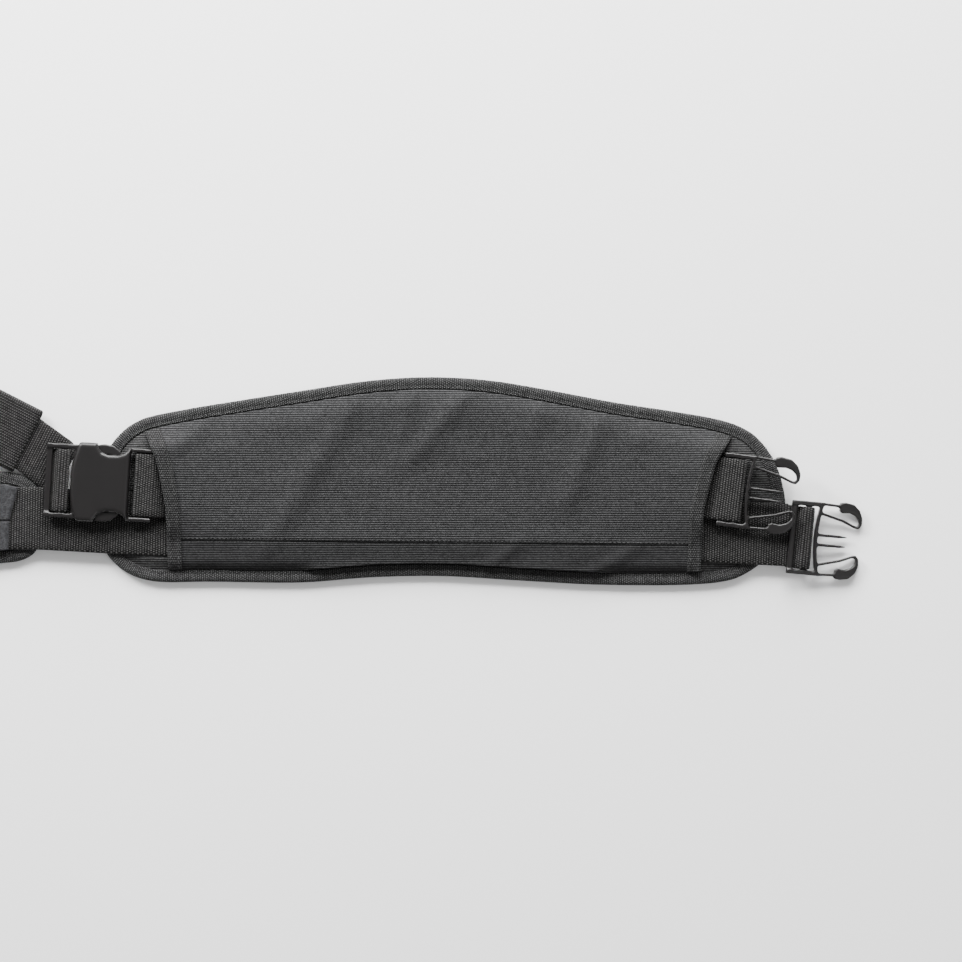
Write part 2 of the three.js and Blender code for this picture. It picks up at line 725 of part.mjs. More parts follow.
// The yoke strap, under the belt strap and the closed buckle, then up to the left onto
// the front pad: x from the hip pad's left nose, lean of its sides in degrees
const YOKE_Z = TROUGH_MID - WEB_T - GAP;
const KEEPER_AT = { x: -54.8, y: 31.2 };
const YOKE = [
  { x: -25.0, y: 5.8 },
  { x: -30.2, y: 12.0 },
  { x: -39.1, y: 18.4 },
];
const yokeSide = sideAt(YOKE_LEAN);
const yokeWay = new THREE.Vector3(-yokeSide.y, yokeSide.x, 0);
const yokeStart = new THREE.Vector3(HIP_LEFT + KEEPER_AT.x, KEEPER_AT.y, YOKE_Z);
const yokeAxis = yokeStart.clone().addScaledVector(yokeSide, -YOKE_SHIFT);
const yokeAt = (distance, z) => ({
  p: yokeAxis.clone().addScaledVector(yokeWay, distance).setZ(z),
  side: yokeSide,
});
const yokePath = [
  ...YOKE.map(({ x, y }) => ({ p: new THREE.Vector3(HIP_LEFT + x, y, YOKE_Z), side: yokeSide })),
  yokeAt(0, YOKE_Z),
  yokeAt(KEEPER_L + 4, YOKE_Z),
  yokeAt(1.8 * KEEPER_L, onPad),
  yokeAt(2.7 * KEEPER_L, onPad),
];
const yokeStrap = webbing(yokePath, YOKE_W, WEB_T);

// The keeper: webbing wrapped once round the yoke strap
function keeper() {
  const tube = (grow, over) => {
    const y = WEB_W / 2 + GAP + grow;
    const z = WEB_T / 2 + GAP + grow;
    return block(-over, KEEPER_L + over, -y, y, -z, z);
  };
  const wall = tube(WEB_T, 0).subtract(tube(0, 1));
  const way = THREE.MathUtils.radToDeg(Math.atan2(yokeWay.y, yokeWay.x));
  return toGeometry(wall).applyMatrix4(place(yokeStart.x, yokeStart.y, YOKE_Z, way));
}

// The upper strap past the front pad, to the upper far socket
const farRun = run([
  { x: farMouth + FAR_SOCKETS.upperX + SOCKET_OUTER + 26, y: 62, z: 7.5 },
  { x: FRONT_X - 0.2 * FRONT_L, y: 78, z: onPad },
  { x: FRONT_X - 0.09 * FRONT_L, y: 86, z: onPad },
]);
const farBars = loopPath(overLoop(-SOCKET_OUTER, -SOCKET_MIDDLE, LOOP_TAIL), barsOf(farUpper), true);
const farStrap = webbing([...farBars.reverse(), ...farRun], WEB_W, WEB_T);

// The sleeve: a cover, a lower band and the tapes at its open ends

// Where a vertical line at x meets a ring, on its upper or lower side
function crossing(ring, x, upper) {
  let found = null;
  ring.forEach((a, i) => {
    const b = ring[(i + 1) % ring.length];
    if ((a.x - x) * (b.x - x) > 0 || a.x === b.x) return;
    const y = a.y + ((b.y - a.y) * (x - a.x)) / (b.x - a.x);
    if (found === null || (upper ? y > found : y < found)) found = y;
  });
  return found;
}

// A sleeve's open edge: x of a row of the cloth, from the edge's table and the sleeve's height
function edgeLine(table, nose, length, sign, trim, bottom, top) {
  const middle = nose + sign * length * table[1].inset;
  return (row) => {
    const low = bottom(middle);
    const v = THREE.MathUtils.clamp((row.y(middle) - low) / (top(middle) - low), 0, 1);
    let i = 0;
    while (i < table.length - 2 && v < table[i + 1].v) i += 1;
    const share = (table[i].v - v) / (table[i].v - table[i + 1].v);
    const inset = table[i].inset + share * (table[i + 1].inset - table[i].inset);
    return nose + sign * (length * inset - trim);
  };
}

const SEW = GAP + 0.2;
const smooth = (value) => THREE.MathUtils.smoothstep(value, 0, 1);

// Rows of the cloth from its sewn edge to the seam: y at an x, and height over the bare pad.
// A capped sleeve ends at a level line where its pad goes on above it.
function clothRows(ring, bands, upper, seam, count, cap = Infinity) {
  const rings = bands.map((row, i) => inset(ring, row.in + (i === 0 ? SEW - GAP : 0)));
  const edge = (i, x) => {
    const y = crossing(rings[i], x, upper);
    return upper ? Math.min(y, cap - (bands[i].in - bands[0].in)) : y;
  };
  const last = rings.length - 1;
  const rows = bands.map((row, i) => ({ y: (x) => edge(i, x), z: row.z + GAP }));
  for (let i = 1; i <= count; i += 1) {
    const share = i / count;
    rows.push({ y: (x) => edge(last, x) + (seam(x) - edge(last, x)) * share, z: bands[last].z + GAP });
  }
  return rows;
}

// A sheet over the pad and the straps: grid of underside points, raised by the relief
function sheetGrid(rows, columns, left, right, relief, reach) {
  const grid = rows.map((row) => columns.map((u) => {
    const x = left(row) + (right(row) - left(row)) * u;
    const y = row.y(x);
    return new THREE.Vector3(x, y, Math.max(row.z, relief.top(x, y, reach) + GAP));
  }));
  const floor = grid.map((line) => line.map((p) => p.z));
  for (let pass = 0; pass < MEMBRANE_PASSES; pass += 1) {
    for (let r = 1; r + 1 < grid.length; r += 1) {
      grid[r].forEach((p, c) => {
        const west = grid[r][Math.max(0, c - 1)].z;
        const east = grid[r][Math.min(columns.length - 1, c + 1)].z;
        const mean = (west + east + grid[r - 1][c].z + grid[r + 1][c].z) / 4;
        p.z = Math.max(floor[r][c], mean);
      });
    }
  }
  return grid;
}

// The creases raise the sheet's grid in place
function crease(grid, columns) {
  grid.forEach((line, r) => line.forEach((p, c) => {
    const height = 1 - r / (grid.length - 1);
    for (const row of CREASES) {
      const middle = row.foot + (row.top - row.foot) * height;
      const offset = ((columns[c] - middle) * HIP_L * CREASE_FADE.length) / (row.wide * TAPE_W);
      const rising = smooth((height - row.from) / CREASE_FADE.foot);
      const falling = smooth((row.to + CREASE_FADE.top - height) / CREASE_FADE.top);
      const ends = smooth(columns[c] / CREASE_FADE.ends) * smooth((1 - columns[c]) / CREASE_FADE.ends);
      p.z += row.rise * COVER_T * Math.exp(-offset * offset) * rising * falling * ends;
    }
  }));
  return grid;
}

const raise = (grid, by) => grid.map((line) => line.map((p) => p.clone().setZ(p.z + by)));

// Columns across the sleeve: the outermost strips lie under the tapes
function columnsFor(length, count) {
  const strip = (TAPE_W - TAPE_T - GAP) / length;
  const inner = Array.from({ length: count + 1 }, (_, i) => strip + (1 - 2 * strip) * (i / count));
  return [0, ...inner, 1];
}

// The tape along one end of the sleeve, folded down over the cloth's edge
function tape(grids, last, sign, ring) {
  const inner = last ? grids[0][0].length - 2 : 1;
  const outer = last ? grids[0][0].length - 1 : 0;
  const lines = [...grids[0], ...grids[1].slice(0, -1).reverse()];
  const limit = inset(ring, BIND_W + SEW);
  const points = [];
  lines.forEach((line) => {
    const near = line[inner];
    const end = line[outer];
    const low = end.z;
    const top = (p) => p.z + COVER_T + GAP;
    const at = (base, dx, z) => {
      const x = base.x + sign * dx;
      const y = Math.min(crossing(limit, x, true), Math.max(crossing(limit, x, false), base.y));
      return new THREE.Vector3(x, y, z);
    };
    points.push(
      at(end, GAP, top(end)), at(end, GAP, low), at(end, GAP + TAPE_T, low),
      at(end, GAP + TAPE_T, top(end) + TAPE_T), at(near, 0, top(near) + TAPE_T), at(near, 0, top(near)),
    );
  });
  const faces = [];
  for (let r = 0; r + 1 < lines.length; r += 1) {
    for (let i = 0; i < 6; i += 1) {
      const j = (i + 1) % 6;
      const quad = [r * 6 + i, r * 6 + j, r * 6 + 6 + j, r * 6 + 6 + i];
      faces.push(last ? quad : [...quad.slice(1), quad[0]]);
    }
  }
  const endFace = (row) => [0, 1, 2, 3, 4, 5].map((i) => row * 6 + i);
  const [head, ...rest] = endFace(0);
  faces.push([head, ...rest.reverse()], endFace(lines.length - 1));
  return body(points, faces);
}

// The hip pad's sleeve
const hipSeam = (x) => -HIP_H / 2 + HIP_SEAM + SEAM_SLOPE * x;
const hipTop = (x) => crossing(hipRing, x, true) - BIND_W;
const hipBottom = (x) => crossing(hipRing, x, false) + BIND_W;
const endTrim = TAPE_W / 2 - TAPE_T - GAP;
const hipLeft = edgeLine(LEFT_TAPE, HIP_LEFT, HIP_L, 1, endTrim, hipBottom, hipTop);
const hipRight = edgeLine(RIGHT_TAPE, HIP_RIGHT, HIP_L, -1, endTrim, hipBottom, hipTop);
const coverRows = clothRows(hipRing, crownRows(CROWN_W), true, hipSeam, COVER_ROWS);
const bandSeam = (x) => hipSeam(x) - SEW;
const bandRows = clothRows(hipRing, crownRows(CROWN_W), false, bandSeam, BAND_ROWS);
const seamRow = coverRows[coverRows.length - 1];
const hipColumns = columnsFor(hipRight(seamRow) - hipLeft(seamRow), COVER_COLUMNS);
const hipRelief = new Relief().add(upperLeft).add(upperRight).add(beltStrap);
const coverFlat = sheetGrid(coverRows, hipColumns, hipLeft, hipRight, hipRelief, REACH);
const coverGrid = crease(coverFlat, hipColumns);
const bandGrid = sheetGrid(bandRows, hipColumns, hipLeft, hipRight, hipRelief, REACH);
const hipGrids = [coverGrid, bandGrid];

// The front pad's sleeve, straight across at the height of its wings
const frontPad = padBody(frontRing, FRONT_CROWN_W);
const frontSeam = () => FRONT_SEAM;
const frontTop = () => SLEEVE_TOP;
const frontBottom = (x) => crossing(frontRing, x, false) + BIND_W;
const frontNose = FRONT_X - FRONT_L / 2;
const frontLeft = edgeLine(FRONT_EDGE, frontNose, FRONT_L, 1, 0, frontBottom, frontTop);
const frontRight = edgeLine(FRONT_EDGE, FRONT_RIGHT, FRONT_L, -1, 0, frontBottom, frontTop);
const frontEdgeRow = crownRows(FRONT_CROWN_W).slice(0, 1);
const frontRows = clothRows(frontRing, frontEdgeRow, true, frontSeam, FRONT_ROWS, SLEEVE_TOP);
const frontBandSeam = () => FRONT_SEAM - SEW;
const frontBandRows = clothRows(frontRing, frontEdgeRow, false, frontBandSeam, FRONT_ROWS);
const frontColumns = Array.from({ length: FRONT_COLUMNS + 1 }, (_, i) => i / FRONT_COLUMNS);
const frontRelief = new Relief().add(frontPad).add(beltStrap);
const frontGrid = sheetGrid(frontRows, frontColumns, frontLeft, frontRight, frontRelief, REACH);
const frontBandGrid = sheetGrid(
  frontBandRows, frontColumns, frontLeft, frontRight, frontRelief, REACH,
);

const sheet = (grid) => slab(raise(grid, COVER_T), grid);

// The assembly

const finish = (color, roughness) => new THREE.MeshStandardMaterial({ color, roughness, metalness: 0 });
const FINISHES = {
  cloth: () => finish(CLOTH, 0.9),
  edging: () => finish(EDGING, 0.9),
  webbing: () => finish(WEBBING, 0.85),
  plastic: () => finish(PLASTIC, 0.5),
};

const placed = (solid, matrix) => toGeometry(solid).applyMatrix4(matrix);
const PIECES = [
  ['hip_pad', 'cloth', padBody(hipRing, CROWN_W)],
  ['hip_binding', 'edging', ringBody(hipRing, BIND_SECTION, true)],
  ['hip_cover', 'cloth', sheet(coverGrid)],
  ['hip_cover_band', 'cloth', sheet(bandGrid)],
  ['hip_tape_left', 'edging', tape(hipGrids, false, -1, hipRing)],
  ['hip_tape_right', 'edging', tape(hipGrids, true, 1, hipRing)],
  ['belt_strap', 'webbing', beltStrap],
  ['upper_strap_left', 'webbing', upperLeft],
  ['upper_strap_right', 'webbing', upperRight],
  ['male_loop', 'webbing', maleLoop],
  ['left_socket', 'plastic', placed(socket(), leftSocket)],
  ['left_male', 'plastic', placed(male(PRONG_L), leftMale)],
  ['upper_male', 'plastic', placed(male(PRONG_L), upperMale)],
  ['lower_male', 'plastic', placed(male(lowerReach), lowerMale)],
  ['yoke_strap', 'webbing', yokeStrap],
  ['yoke_keeper', 'webbing', keeper()],
  ['front_pad', 'cloth', frontPad],
  ['front_binding', 'edging', ringBody(frontRing, BIND_SECTION, true)],
  ['front_cover', 'cloth', sheet(frontGrid)],
  ['front_cover_band', 'cloth', sheet(frontBandGrid)],
  ['far_strap', 'webbing', farStrap],
  ['far_socket_upper', 'plastic', placed(socket(), farUpper)],
  ['far_socket_lower', 'plastic', placed(socket(), farLower)],
];

const group = new THREE.Group();
for (const [name, slot, geometry] of PIECES) {
  const mesh = new THREE.Mesh(geometry, FINISHES[slot]());
  mesh.name = name;
  group.add(mesh);
}

export default group;
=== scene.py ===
import math

import bmesh
import bpy
import numpy as np
from mathutils import Matrix, Vector, noise
from mathutils.bvhtree import BVHTree


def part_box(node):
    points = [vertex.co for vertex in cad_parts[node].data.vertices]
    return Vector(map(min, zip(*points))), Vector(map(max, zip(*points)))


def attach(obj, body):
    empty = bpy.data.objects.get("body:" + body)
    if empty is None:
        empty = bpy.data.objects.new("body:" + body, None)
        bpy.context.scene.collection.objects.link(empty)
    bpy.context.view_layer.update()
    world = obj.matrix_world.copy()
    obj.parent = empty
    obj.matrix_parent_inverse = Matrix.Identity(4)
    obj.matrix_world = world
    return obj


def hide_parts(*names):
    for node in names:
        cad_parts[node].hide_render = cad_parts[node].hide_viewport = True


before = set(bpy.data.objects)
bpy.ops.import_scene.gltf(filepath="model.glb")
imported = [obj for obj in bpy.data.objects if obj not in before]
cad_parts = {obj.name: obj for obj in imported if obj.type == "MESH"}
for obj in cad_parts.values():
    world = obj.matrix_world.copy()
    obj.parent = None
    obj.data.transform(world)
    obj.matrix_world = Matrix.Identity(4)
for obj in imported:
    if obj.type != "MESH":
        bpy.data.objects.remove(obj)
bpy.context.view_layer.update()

bl_info = {
    "name": "Padded Belt",
    "version": (1, 0, 0),
    "blender": (4, 5, 0),
    "location": "3D View > Sidebar > Padded Belt",
    "description": "Padded belt of bound foam pads, webbing and side-release buckles",
    "category": "Add Mesh",
}

# Sizes of the solids, in millimetres, named as in the part's source
GAP = 0.3
WEB_W = 50
WEB_T = 1.8
HIP_L = 552
HIP_H = 166.6
PAD_T = 10
HIP_LEFT = -HIP_L / 2
HIP_RIGHT = HIP_L / 2
FRONT_L = 300
FRONT_RIGHT = HIP_LEFT - 44.5
FRONT_X = FRONT_RIGHT - FRONT_L / 2
HIP_SEAM = 33.8
FRONT_SEAM = -31.7
BAR_T = 3.2
BAR_LIFT = 0.3
OUTER_BAR_W = 5
MIDDLE_BAR_W = 4.4
BAR_SPACING = 11.8
BAR_REACH = 8.2
PRONG_L = 40
SOCKET_L = 47.2
SOCKET_SEAT = 2.4
MALE_RISE = 4.2
LOOP_TAIL = 8
SOCKET_BAR = 2.3
SOCKET_BAR_SPACING = 8.2
BEND_R = GAP + WEB_T / 2 + 0.05
TROUGH_MID = PAD_T - WEB_T / 2
ON_PAD = PAD_T + GAP + WEB_T / 2
MM = 0.001

# Numbers of the modelling itself
MERGE = 1e-6
CREASE_ANGLE = math.radians(50)
JOIN_ANGLE = math.radians(60)
LEVEL = 1e-5
LOOK_FROM = 0.2
RIB_STEPS = 4
BINDING_RIB_STEPS = 3
STRAP_SOFTENING = 0.6
BINDING_SOFTENING = 4.0
CLOTH_FRAMES = 20
PAD_MID = 3.3 * MM
PHOTO_LENS = 180.0
PHOTO_SENSOR = 36.0
PHOTO_WIDTH = 0.7696
PHOTO_CENTRE = (0.0316, 0.0)
PHOTO_PLANE = 0.009


# Meshes


def new_piece(bm, name, material, replaced=()):
    """Turns a bmesh, in metres in the frame, into a piece that rides on the belt."""
    mesh = bpy.data.meshes.new(name)
    bm.to_mesh(mesh)
    bm.free()
    mesh.shade_smooth()
    piece = bpy.data.objects.new(name, mesh)
    bpy.context.scene.collection.objects.link(piece)
    mesh.materials.append(material)
    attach(piece, "root")
    if replaced:
        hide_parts(*replaced)
    return piece


def merged(node):
    """A bmesh copy of a CAD node, with its doubled corners merged."""
    bm = bmesh.new()
    bm.from_mesh(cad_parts[node].data)
    bmesh.ops.remove_doubles(bm, verts=bm.verts, dist=MERGE)
    return bm


def applied(piece):
    """Bakes a piece's modifiers into its mesh."""
    graph = bpy.context.evaluated_depsgraph_get()
    mesh = bpy.data.meshes.new_from_object(piece.evaluated_get(graph))
    old = piece.data
    name = old.name
    piece.modifiers.clear()
    piece.data = mesh
    bpy.data.meshes.remove(old)
    mesh.name = name
    return piece


def finished(piece, material):
    """Gives a piece its material and smooth shading again, after its modifiers."""
    piece.data.materials.clear()
    piece.data.materials.append(material)
    piece.data.shade_smooth()


def tree_of(name):
    """A search tree over a CAD node's surface."""
    bm = merged(name)
    tree = BVHTree.FromBMesh(bm)
    bm.free()
    return tree


def piece_tree(piece):
    """A search tree over a piece's finished surface."""
    graph = bpy.context.evaluated_depsgraph_get()
    return BVHTree.FromObject(piece, graph)


def highest(trees, x, y):
    """The height of the uppermost surface over a point."""
    hits = [tree.ray_cast(Vector((x, y, LOOK_FROM)), Vector((0, 0, -1)))[0] for tree in trees]
    return max((hit.z for hit in hits if hit), default=None)


def resampled(points, step, closed):
    """Points at even steps along a polyline, with the distance run at each."""
    rows = np.array(points, dtype=float)
    if closed:
        rows = np.vstack([rows, rows[:1]])
    run = np.concatenate([[0], np.cumsum(np.linalg.norm(np.diff(rows[:, :3], axis=0), axis=1))])
    count = max(2, int(round(run[-1] / step)))
    at = np.linspace(0, run[-1], count + 1)
    if closed:
        at = at[:-1]
    return np.column_stack([np.interp(at, run, rows[:, k]) for k in range(rows.shape[1])]), at


def softened(rows, step, width, closed):
    """Rows smoothed by a bell curve of a width, with open ends held in place."""
    reach = max(1, int(3 * width / step))
    weights = np.exp(-0.5 * (np.arange(-reach, reach + 1) * step / width) ** 2)
    weights /= weights.sum()
    if closed:
        wide = np.vstack([rows[-reach:], rows, rows[:reach]])
    else:
        first = 2 * rows[0] - rows[reach:0:-1]
        last = 2 * rows[-1] - rows[-2:-reach - 2:-1]
        wide = np.vstack([first, rows, last])
    return np.column_stack([np.convolve(wide[:, k], weights, "valid") for k in range(rows.shape[1])])


def swept(points, sides, ups, at, section, closed, rib):
    """A closed section swept along a path. section rows are (across, up, ribbed share)."""
    rows, across = len(points), len(section)
    bm = bmesh.new()
    bmesh.ops.create_grid(bm, x_segments=across, y_segments=rows if closed else rows - 1, size=1)
    bm.verts.ensure_lookup_table()
    order = sorted(bm.verts, key=lambda v: (round(v.co.y, 7), round(v.co.x, 7)))
    width = across + 1
    place = {}
    around = np.concatenate([[0], np.cumsum([
        math.dist(section[k][:2], section[(k + 1) % across][:2]) for k in range(across)])])
    total = at[-1] + (at[1] - at[0] if closed else 0)
    for index, vert in enumerate(order):
        place[vert] = divmod(index, width)
    uv = bm.loops.layers.uv.new("run")
    for face in bm.faces:
        for loop in face.loops:
            r, c = place[loop.vert]
            loop[uv].uv = ((total if r == rows else at[r]) * MM, around[c] * MM)
    for vert, (r, c) in place.items():
        r %= rows
        a, u, ribbed = section[c % across]
        ridge = rib.height * ribbed * (math.cos(2 * math.pi * at[r] / rib.pitch) - 1) / 2
        lift = u + math.copysign(ridge, u)
        vert.co = Vector((points[r] + sides[r] * a + ups[r] * lift) * MM)
    bmesh.ops.remove_doubles(bm, verts=bm.verts, dist=MERGE)
    if not closed:
        bmesh.ops.holes_fill(bm, edges=bm.edges, sides=0)
    bmesh.ops.recalc_face_normals(bm, faces=bm.faces)
    return bm


class Rib:
    """Pitch and height of the ribs across a woven strap, in millimetres."""

    def __init__(self, pitch, height):
        self.pitch = pitch
        self.height = height


# Webbing


def matrix_at(x, y, z, turn, droop=0):
    """A buckle's place: turned in plan, then drooping about its own crosswise axis."""
    spot = Matrix.Translation((x, y, z))
    return spot @ Matrix.Rotation(math.radians(turn), 4, "Z") @ Matrix.Rotation(math.radians(droop), 4, "Y")


BAR_TOP = BAR_LIFT + BAR_T
OVER_BAR = BAR_TOP + BEND_R
UNDER_BAR = BAR_LIFT - BEND_R
UNDER_TAIL = UNDER_BAR - WEB_T - GAP
MALE_MIDDLE = -BAR_REACH
MALE_OUTER = MALE_MIDDLE - BAR_SPACING
SOCKET_MIDDLE = SOCKET_L + BAR_REACH
SOCKET_OUTER = SOCKET_MIDDLE + SOCKET_BAR_SPACING
CORNER_STEPS = 6


def corner(x, z, start, end):
    """Round stretch of a webbing loop about a bar's corner, from one angle to another."""
    angles = np.radians(np.linspace(start, end, CORNER_STEPS))
    return [(x + BEND_R * math.cos(a), z + BEND_R * math.sin(a)) for a in angles]


def over_loop(outer, middle, tail):
    """Webbing over the outer bar that turns down round the middle bar, as (x, z)."""
    edge = middle + MIDDLE_BAR_W / 2
    return [
        (outer - OUTER_BAR_W / 2, OVER_BAR),
        *corner(edge, BAR_TOP, 90, 0),
        *corner(edge, BAR_LIFT, 0, -90),
        (outer - OUTER_BAR_W / 2 - tail, UNDER_BAR),
    ]


def under_loop(outer, middle, tail):
    """Webbing under the outer bar that rises over the middle bar and turns back."""
    near, far = middle - MIDDLE_BAR_W / 2, middle + MIDDLE_BAR_W / 2
    inner = outer + OUTER_BAR_W / 2
    return [
        (outer - OUTER_BAR_W / 2, UNDER_BAR),
        *corner(inner, BAR_LIFT, -90, -45),
        *corner(near, BAR_TOP, 135, 90),
        *corner(far, BAR_TOP, 90, 0),
        *corner(far, BAR_LIFT, 0, -90),
        (inner + WEB_T, UNDER_TAIL),
        (outer - OUTER_BAR_W / 2 - tail, UNDER_TAIL),
    ]


def loop_path(points, matrix, mirrored=False):
    """A loop's (x, z) points as rows of a point and its crosswise direction."""
    side = matrix.to_3x3() @ Vector((0, 1, 0))
    rows = []
    for x, z in points:
        p = matrix @ Vector((-x if mirrored else x, 0, z))
        rows.append((*p, *side))
    return rows


def run_path(stations):
    """Stations (x, y, z) as rows whose crosswise direction is square to them in plan."""
    rows = []
    for i, (x, y, z) in enumerate(stations):
        x0, y0, _ = stations[max(0, i - 1)]
        x1, y1, _ = stations[min(len(stations) - 1, i + 1)]
        side = Vector((y0 - y1, x1 - x0, 0)).normalized()
        rows.append((x, y, z, *side))
    return rows


def strap(path, name, settings, material, node, width=WEB_W):
    """A length of ribbed webbing along a path, as a piece in place of its CAD node."""
    step = settings.webbing_rib * 1000 / RIB_STEPS
    rows, at = resampled(path, step, False)
    rows = softened(rows, step, STRAP_SOFTENING, False)
    points = rows[:, :3]
    sides = rows[:, 3:] / np.linalg.norm(rows[:, 3:], axis=1)[:, None]
    along = np.gradient(points, axis=0)
    ups = np.cross(along, sides)
    ups /= np.linalg.norm(ups, axis=1)[:, None]
    half, thick = width / 2, WEB_T / 2
    inner = half - 1.2
    spans = np.linspace(-inner, inner, 11)
    edge = [(inner + 0.75, 0.62 * thick, 0.3), (half, 0, 0), (inner + 0.75, -0.62 * thick, 0.3)]
    section = [(s, thick, 1) for s in spans] + edge + [(s, -thick, 1) for s in spans[::-1]]
    section += [(-a, -u, r) for a, u, r in edge]
    rib = Rib(settings.webbing_rib * 1000, settings.webbing_rib_height * 1000)
    return new_piece(swept(points, sides, ups, at, section, False, rib), name, material, [node])


CLOSED_BUCKLE = (HIP_LEFT - 20.5, 0, PAD_T + GAP, -3.5)
UPPER_MALE = (HIP_RIGHT - 31, -8.8, PAD_T + 3.5, -7)
UPPER_DROOP = -2.4
LOWER_REACH = 0.9 * PRONG_L
LOWER_DROOP = 9.5
LOWER_MALE = (HIP_RIGHT + 23.6, -46.3, LOWER_REACH * math.sin(math.radians(LOWER_DROOP)), -5.3)
FAR_MOUTH = FRONT_X - FRONT_L / 2 - SOCKET_OUTER - 14
FAR_LOWER = (FAR_MOUTH, -33, 0, 0)
FAR_UPPER = (FAR_MOUTH + 10, 60, 0, 0)
BELT_LINE = [
    (FRONT_X - FRONT_L / 2, -31), (FRONT_X, -28.5), (FRONT_RIGHT, -30), (HIP_LEFT, -32.5),
    (HIP_LEFT + 57, -35.2), (HIP_RIGHT - 66, -39.8), (HIP_RIGHT, -43.2),
]
TAB_L = 60
TAB_ROWS = 3
YOKE_LEAN = 27
YOKE_Z = TROUGH_MID - WEB_T - GAP
YOKE_W = 44.5
YOKE_SHIFT = 1.25
YOKE_LINE = [(-25.0, 5.8), (-30.2, 12.0), (-39.1, 18.4)]
KEEPER_AT = (-54.8, 31.2)
KEEPER_L = 50
KEEPER_TURN = 1.3
YOKE_STATIONS = [
    (0, YOKE_Z), (KEEPER_L + 4, YOKE_Z), (1.8 * KEEPER_L, ON_PAD), (2.7 * KEEPER_L, ON_PAD),
]


def tab(outer, middle, rest):
    """A short strap from inside the sleeve, over the outer bar and back under it."""
    tail = outer - OUTER_BAR_W / 2 - LOOP_TAIL
    return [
        (tail - TAB_L, rest),
        (tail - 2.5 * WEB_T, rest),
        (tail - 2 * GAP, rest + WEB_T + 2 * GAP),
        *over_loop(outer, middle, LOOP_TAIL),
    ]


def bars_of(matrix):
    return matrix @ Matrix.Translation((0, 0, SOCKET_BAR))


def far_loop(place):
    """The webbing round the bars of a far socket, at its place."""
    loop = over_loop(-SOCKET_OUTER, -SOCKET_MIDDLE, LOOP_TAIL)
    return loop_path(loop, bars_of(matrix_at(*place)), True)[::-1]


def belt_path():
    """The belt strap, from the far socket through both sleeves to the open half."""
    lower = matrix_at(*LOWER_MALE, LOWER_DROOP)
    return (
        far_loop(FAR_LOWER)
        + run_path([(x, y, TROUGH_MID) for x, y in BELT_LINE])
        + loop_path(under_loop(MALE_OUTER, MALE_MIDDLE, -OUTER_BAR_W), lower)
    )


def far_path():
    """The upper far strap, from the front pad to the upper far socket."""
    return far_loop(FAR_UPPER) + run_path([
        (FAR_UPPER[0] + SOCKET_OUTER + 26, 62, 7.5),
        (FRONT_X - 0.2 * FRONT_L, 78, ON_PAD),
        (FRONT_X - 0.09 * FRONT_L, 86, ON_PAD),
    ])


def yoke_frame():
    """The keeper's corner, the yoke strap's direction and its crosswise direction."""
    lean = math.radians(YOKE_LEAN)
    side = Vector((math.sin(lean), math.cos(lean), 0))
    start = Vector((HIP_LEFT + KEEPER_AT[0], KEEPER_AT[1], YOKE_Z))
    return start, Vector((-side.y, side.x, 0)), side


def yoke_path():
    """The yoke strap, under the buckle and up through its keeper."""
    start, way, side = yoke_frame()
    axis = start - side * YOKE_SHIFT
    rows = [(HIP_LEFT + x, y, YOKE_Z, *side) for x, y in YOKE_LINE]
    for distance, z in YOKE_STATIONS:
        p = axis + way * distance
        rows.append((p.x, p.y, z, *side))
    return rows


def keeper_path():
    """The keeper's webbing, once round the yoke strap."""
    start, way, side = yoke_frame()
    middle = start + way * (KEEPER_L / 2)
    wide = WEB_W / 2 + GAP + WEB_T / 2 - KEEPER_TURN
    high = WEB_T + GAP - KEEPER_TURN
    around = []
    for a, u, first in ((1, 1, 90), (1, -1, 0), (-1, -1, -90), (-1, 1, -180)):
        for angle in np.radians(np.linspace(first, first - 90, CORNER_STEPS)):
            around.append((
                a * wide + KEEPER_TURN * math.cos(angle), u * high + KEEPER_TURN * math.sin(angle)))
    return [(*(middle + side * a + Vector((0, 0, u))), *way) for a, u in around]


# Pads


def swollen(piece, pressure, limit):
    """Fills a pad by a short cloth simulation, with every point's way capped."""
    scene = bpy.context.scene
    start = [v.co.copy() for v in piece.data.vertices]
    cloth = piece.modifiers.new("Cloth", "CLOTH")
    cloth.settings.use_pressure = True
    cloth.settings.uniform_pressure_force = pressure
    cloth.settings.effector_weights.gravity = 0
    for frame_number in range(1, CLOTH_FRAMES + 1):
        scene.frame_set(frame_number)
    applied(piece)
    scene.frame_set(1)
    for vert, begin in zip(piece.data.vertices, start):
        way = vert.co - begin
        if way.length > limit:
            vert.co = begin + way * (limit / way.length)


def held_under(mesh, trees, gap):
    """Keeps a pad's top under what lies on it, and its underside on the floor."""
    for vert in mesh.vertices:
        x, y, z = vert.co
        if z > PAD_MID:
            for tree in trees:
                hit = tree.ray_cast(Vector((x, y, PAD_MID)), Vector((0, 0, 1)))[0]
                if hit:
                    z = min(z, hit.z - gap)
        vert.co.z = max(z, 0.0)


def pad(node, name, settings, material, over):
    """A foam pad, remeshed from its solid and filled until its cloth is taut."""
    piece = new_piece(merged(node), name, material, [node])
    remesh = piece.modifiers.new("Remesh", "REMESH")
    remesh.mode = "VOXEL"
    remesh.voxel_size = settings.pad_voxel
    applied(piece)
    for vert, normal in zip(piece.data.vertices, [v.normal.copy() for v in piece.data.vertices]):
        vert.co -= normal * settings.pad_slack
    swollen(piece, settings.pad_pressure, settings.pad_swell)
    trees = [tree_of(other) for other in over]
    held_under(piece.data, trees, GAP * MM / 2)
    finer = piece.modifiers.new("Finer", "SUBSURF")
    finer.levels = finer.render_levels = 1
    applied(piece)
    held_under(piece.data, trees, GAP * MM / 2)
    finished(piece, material)
    return piece


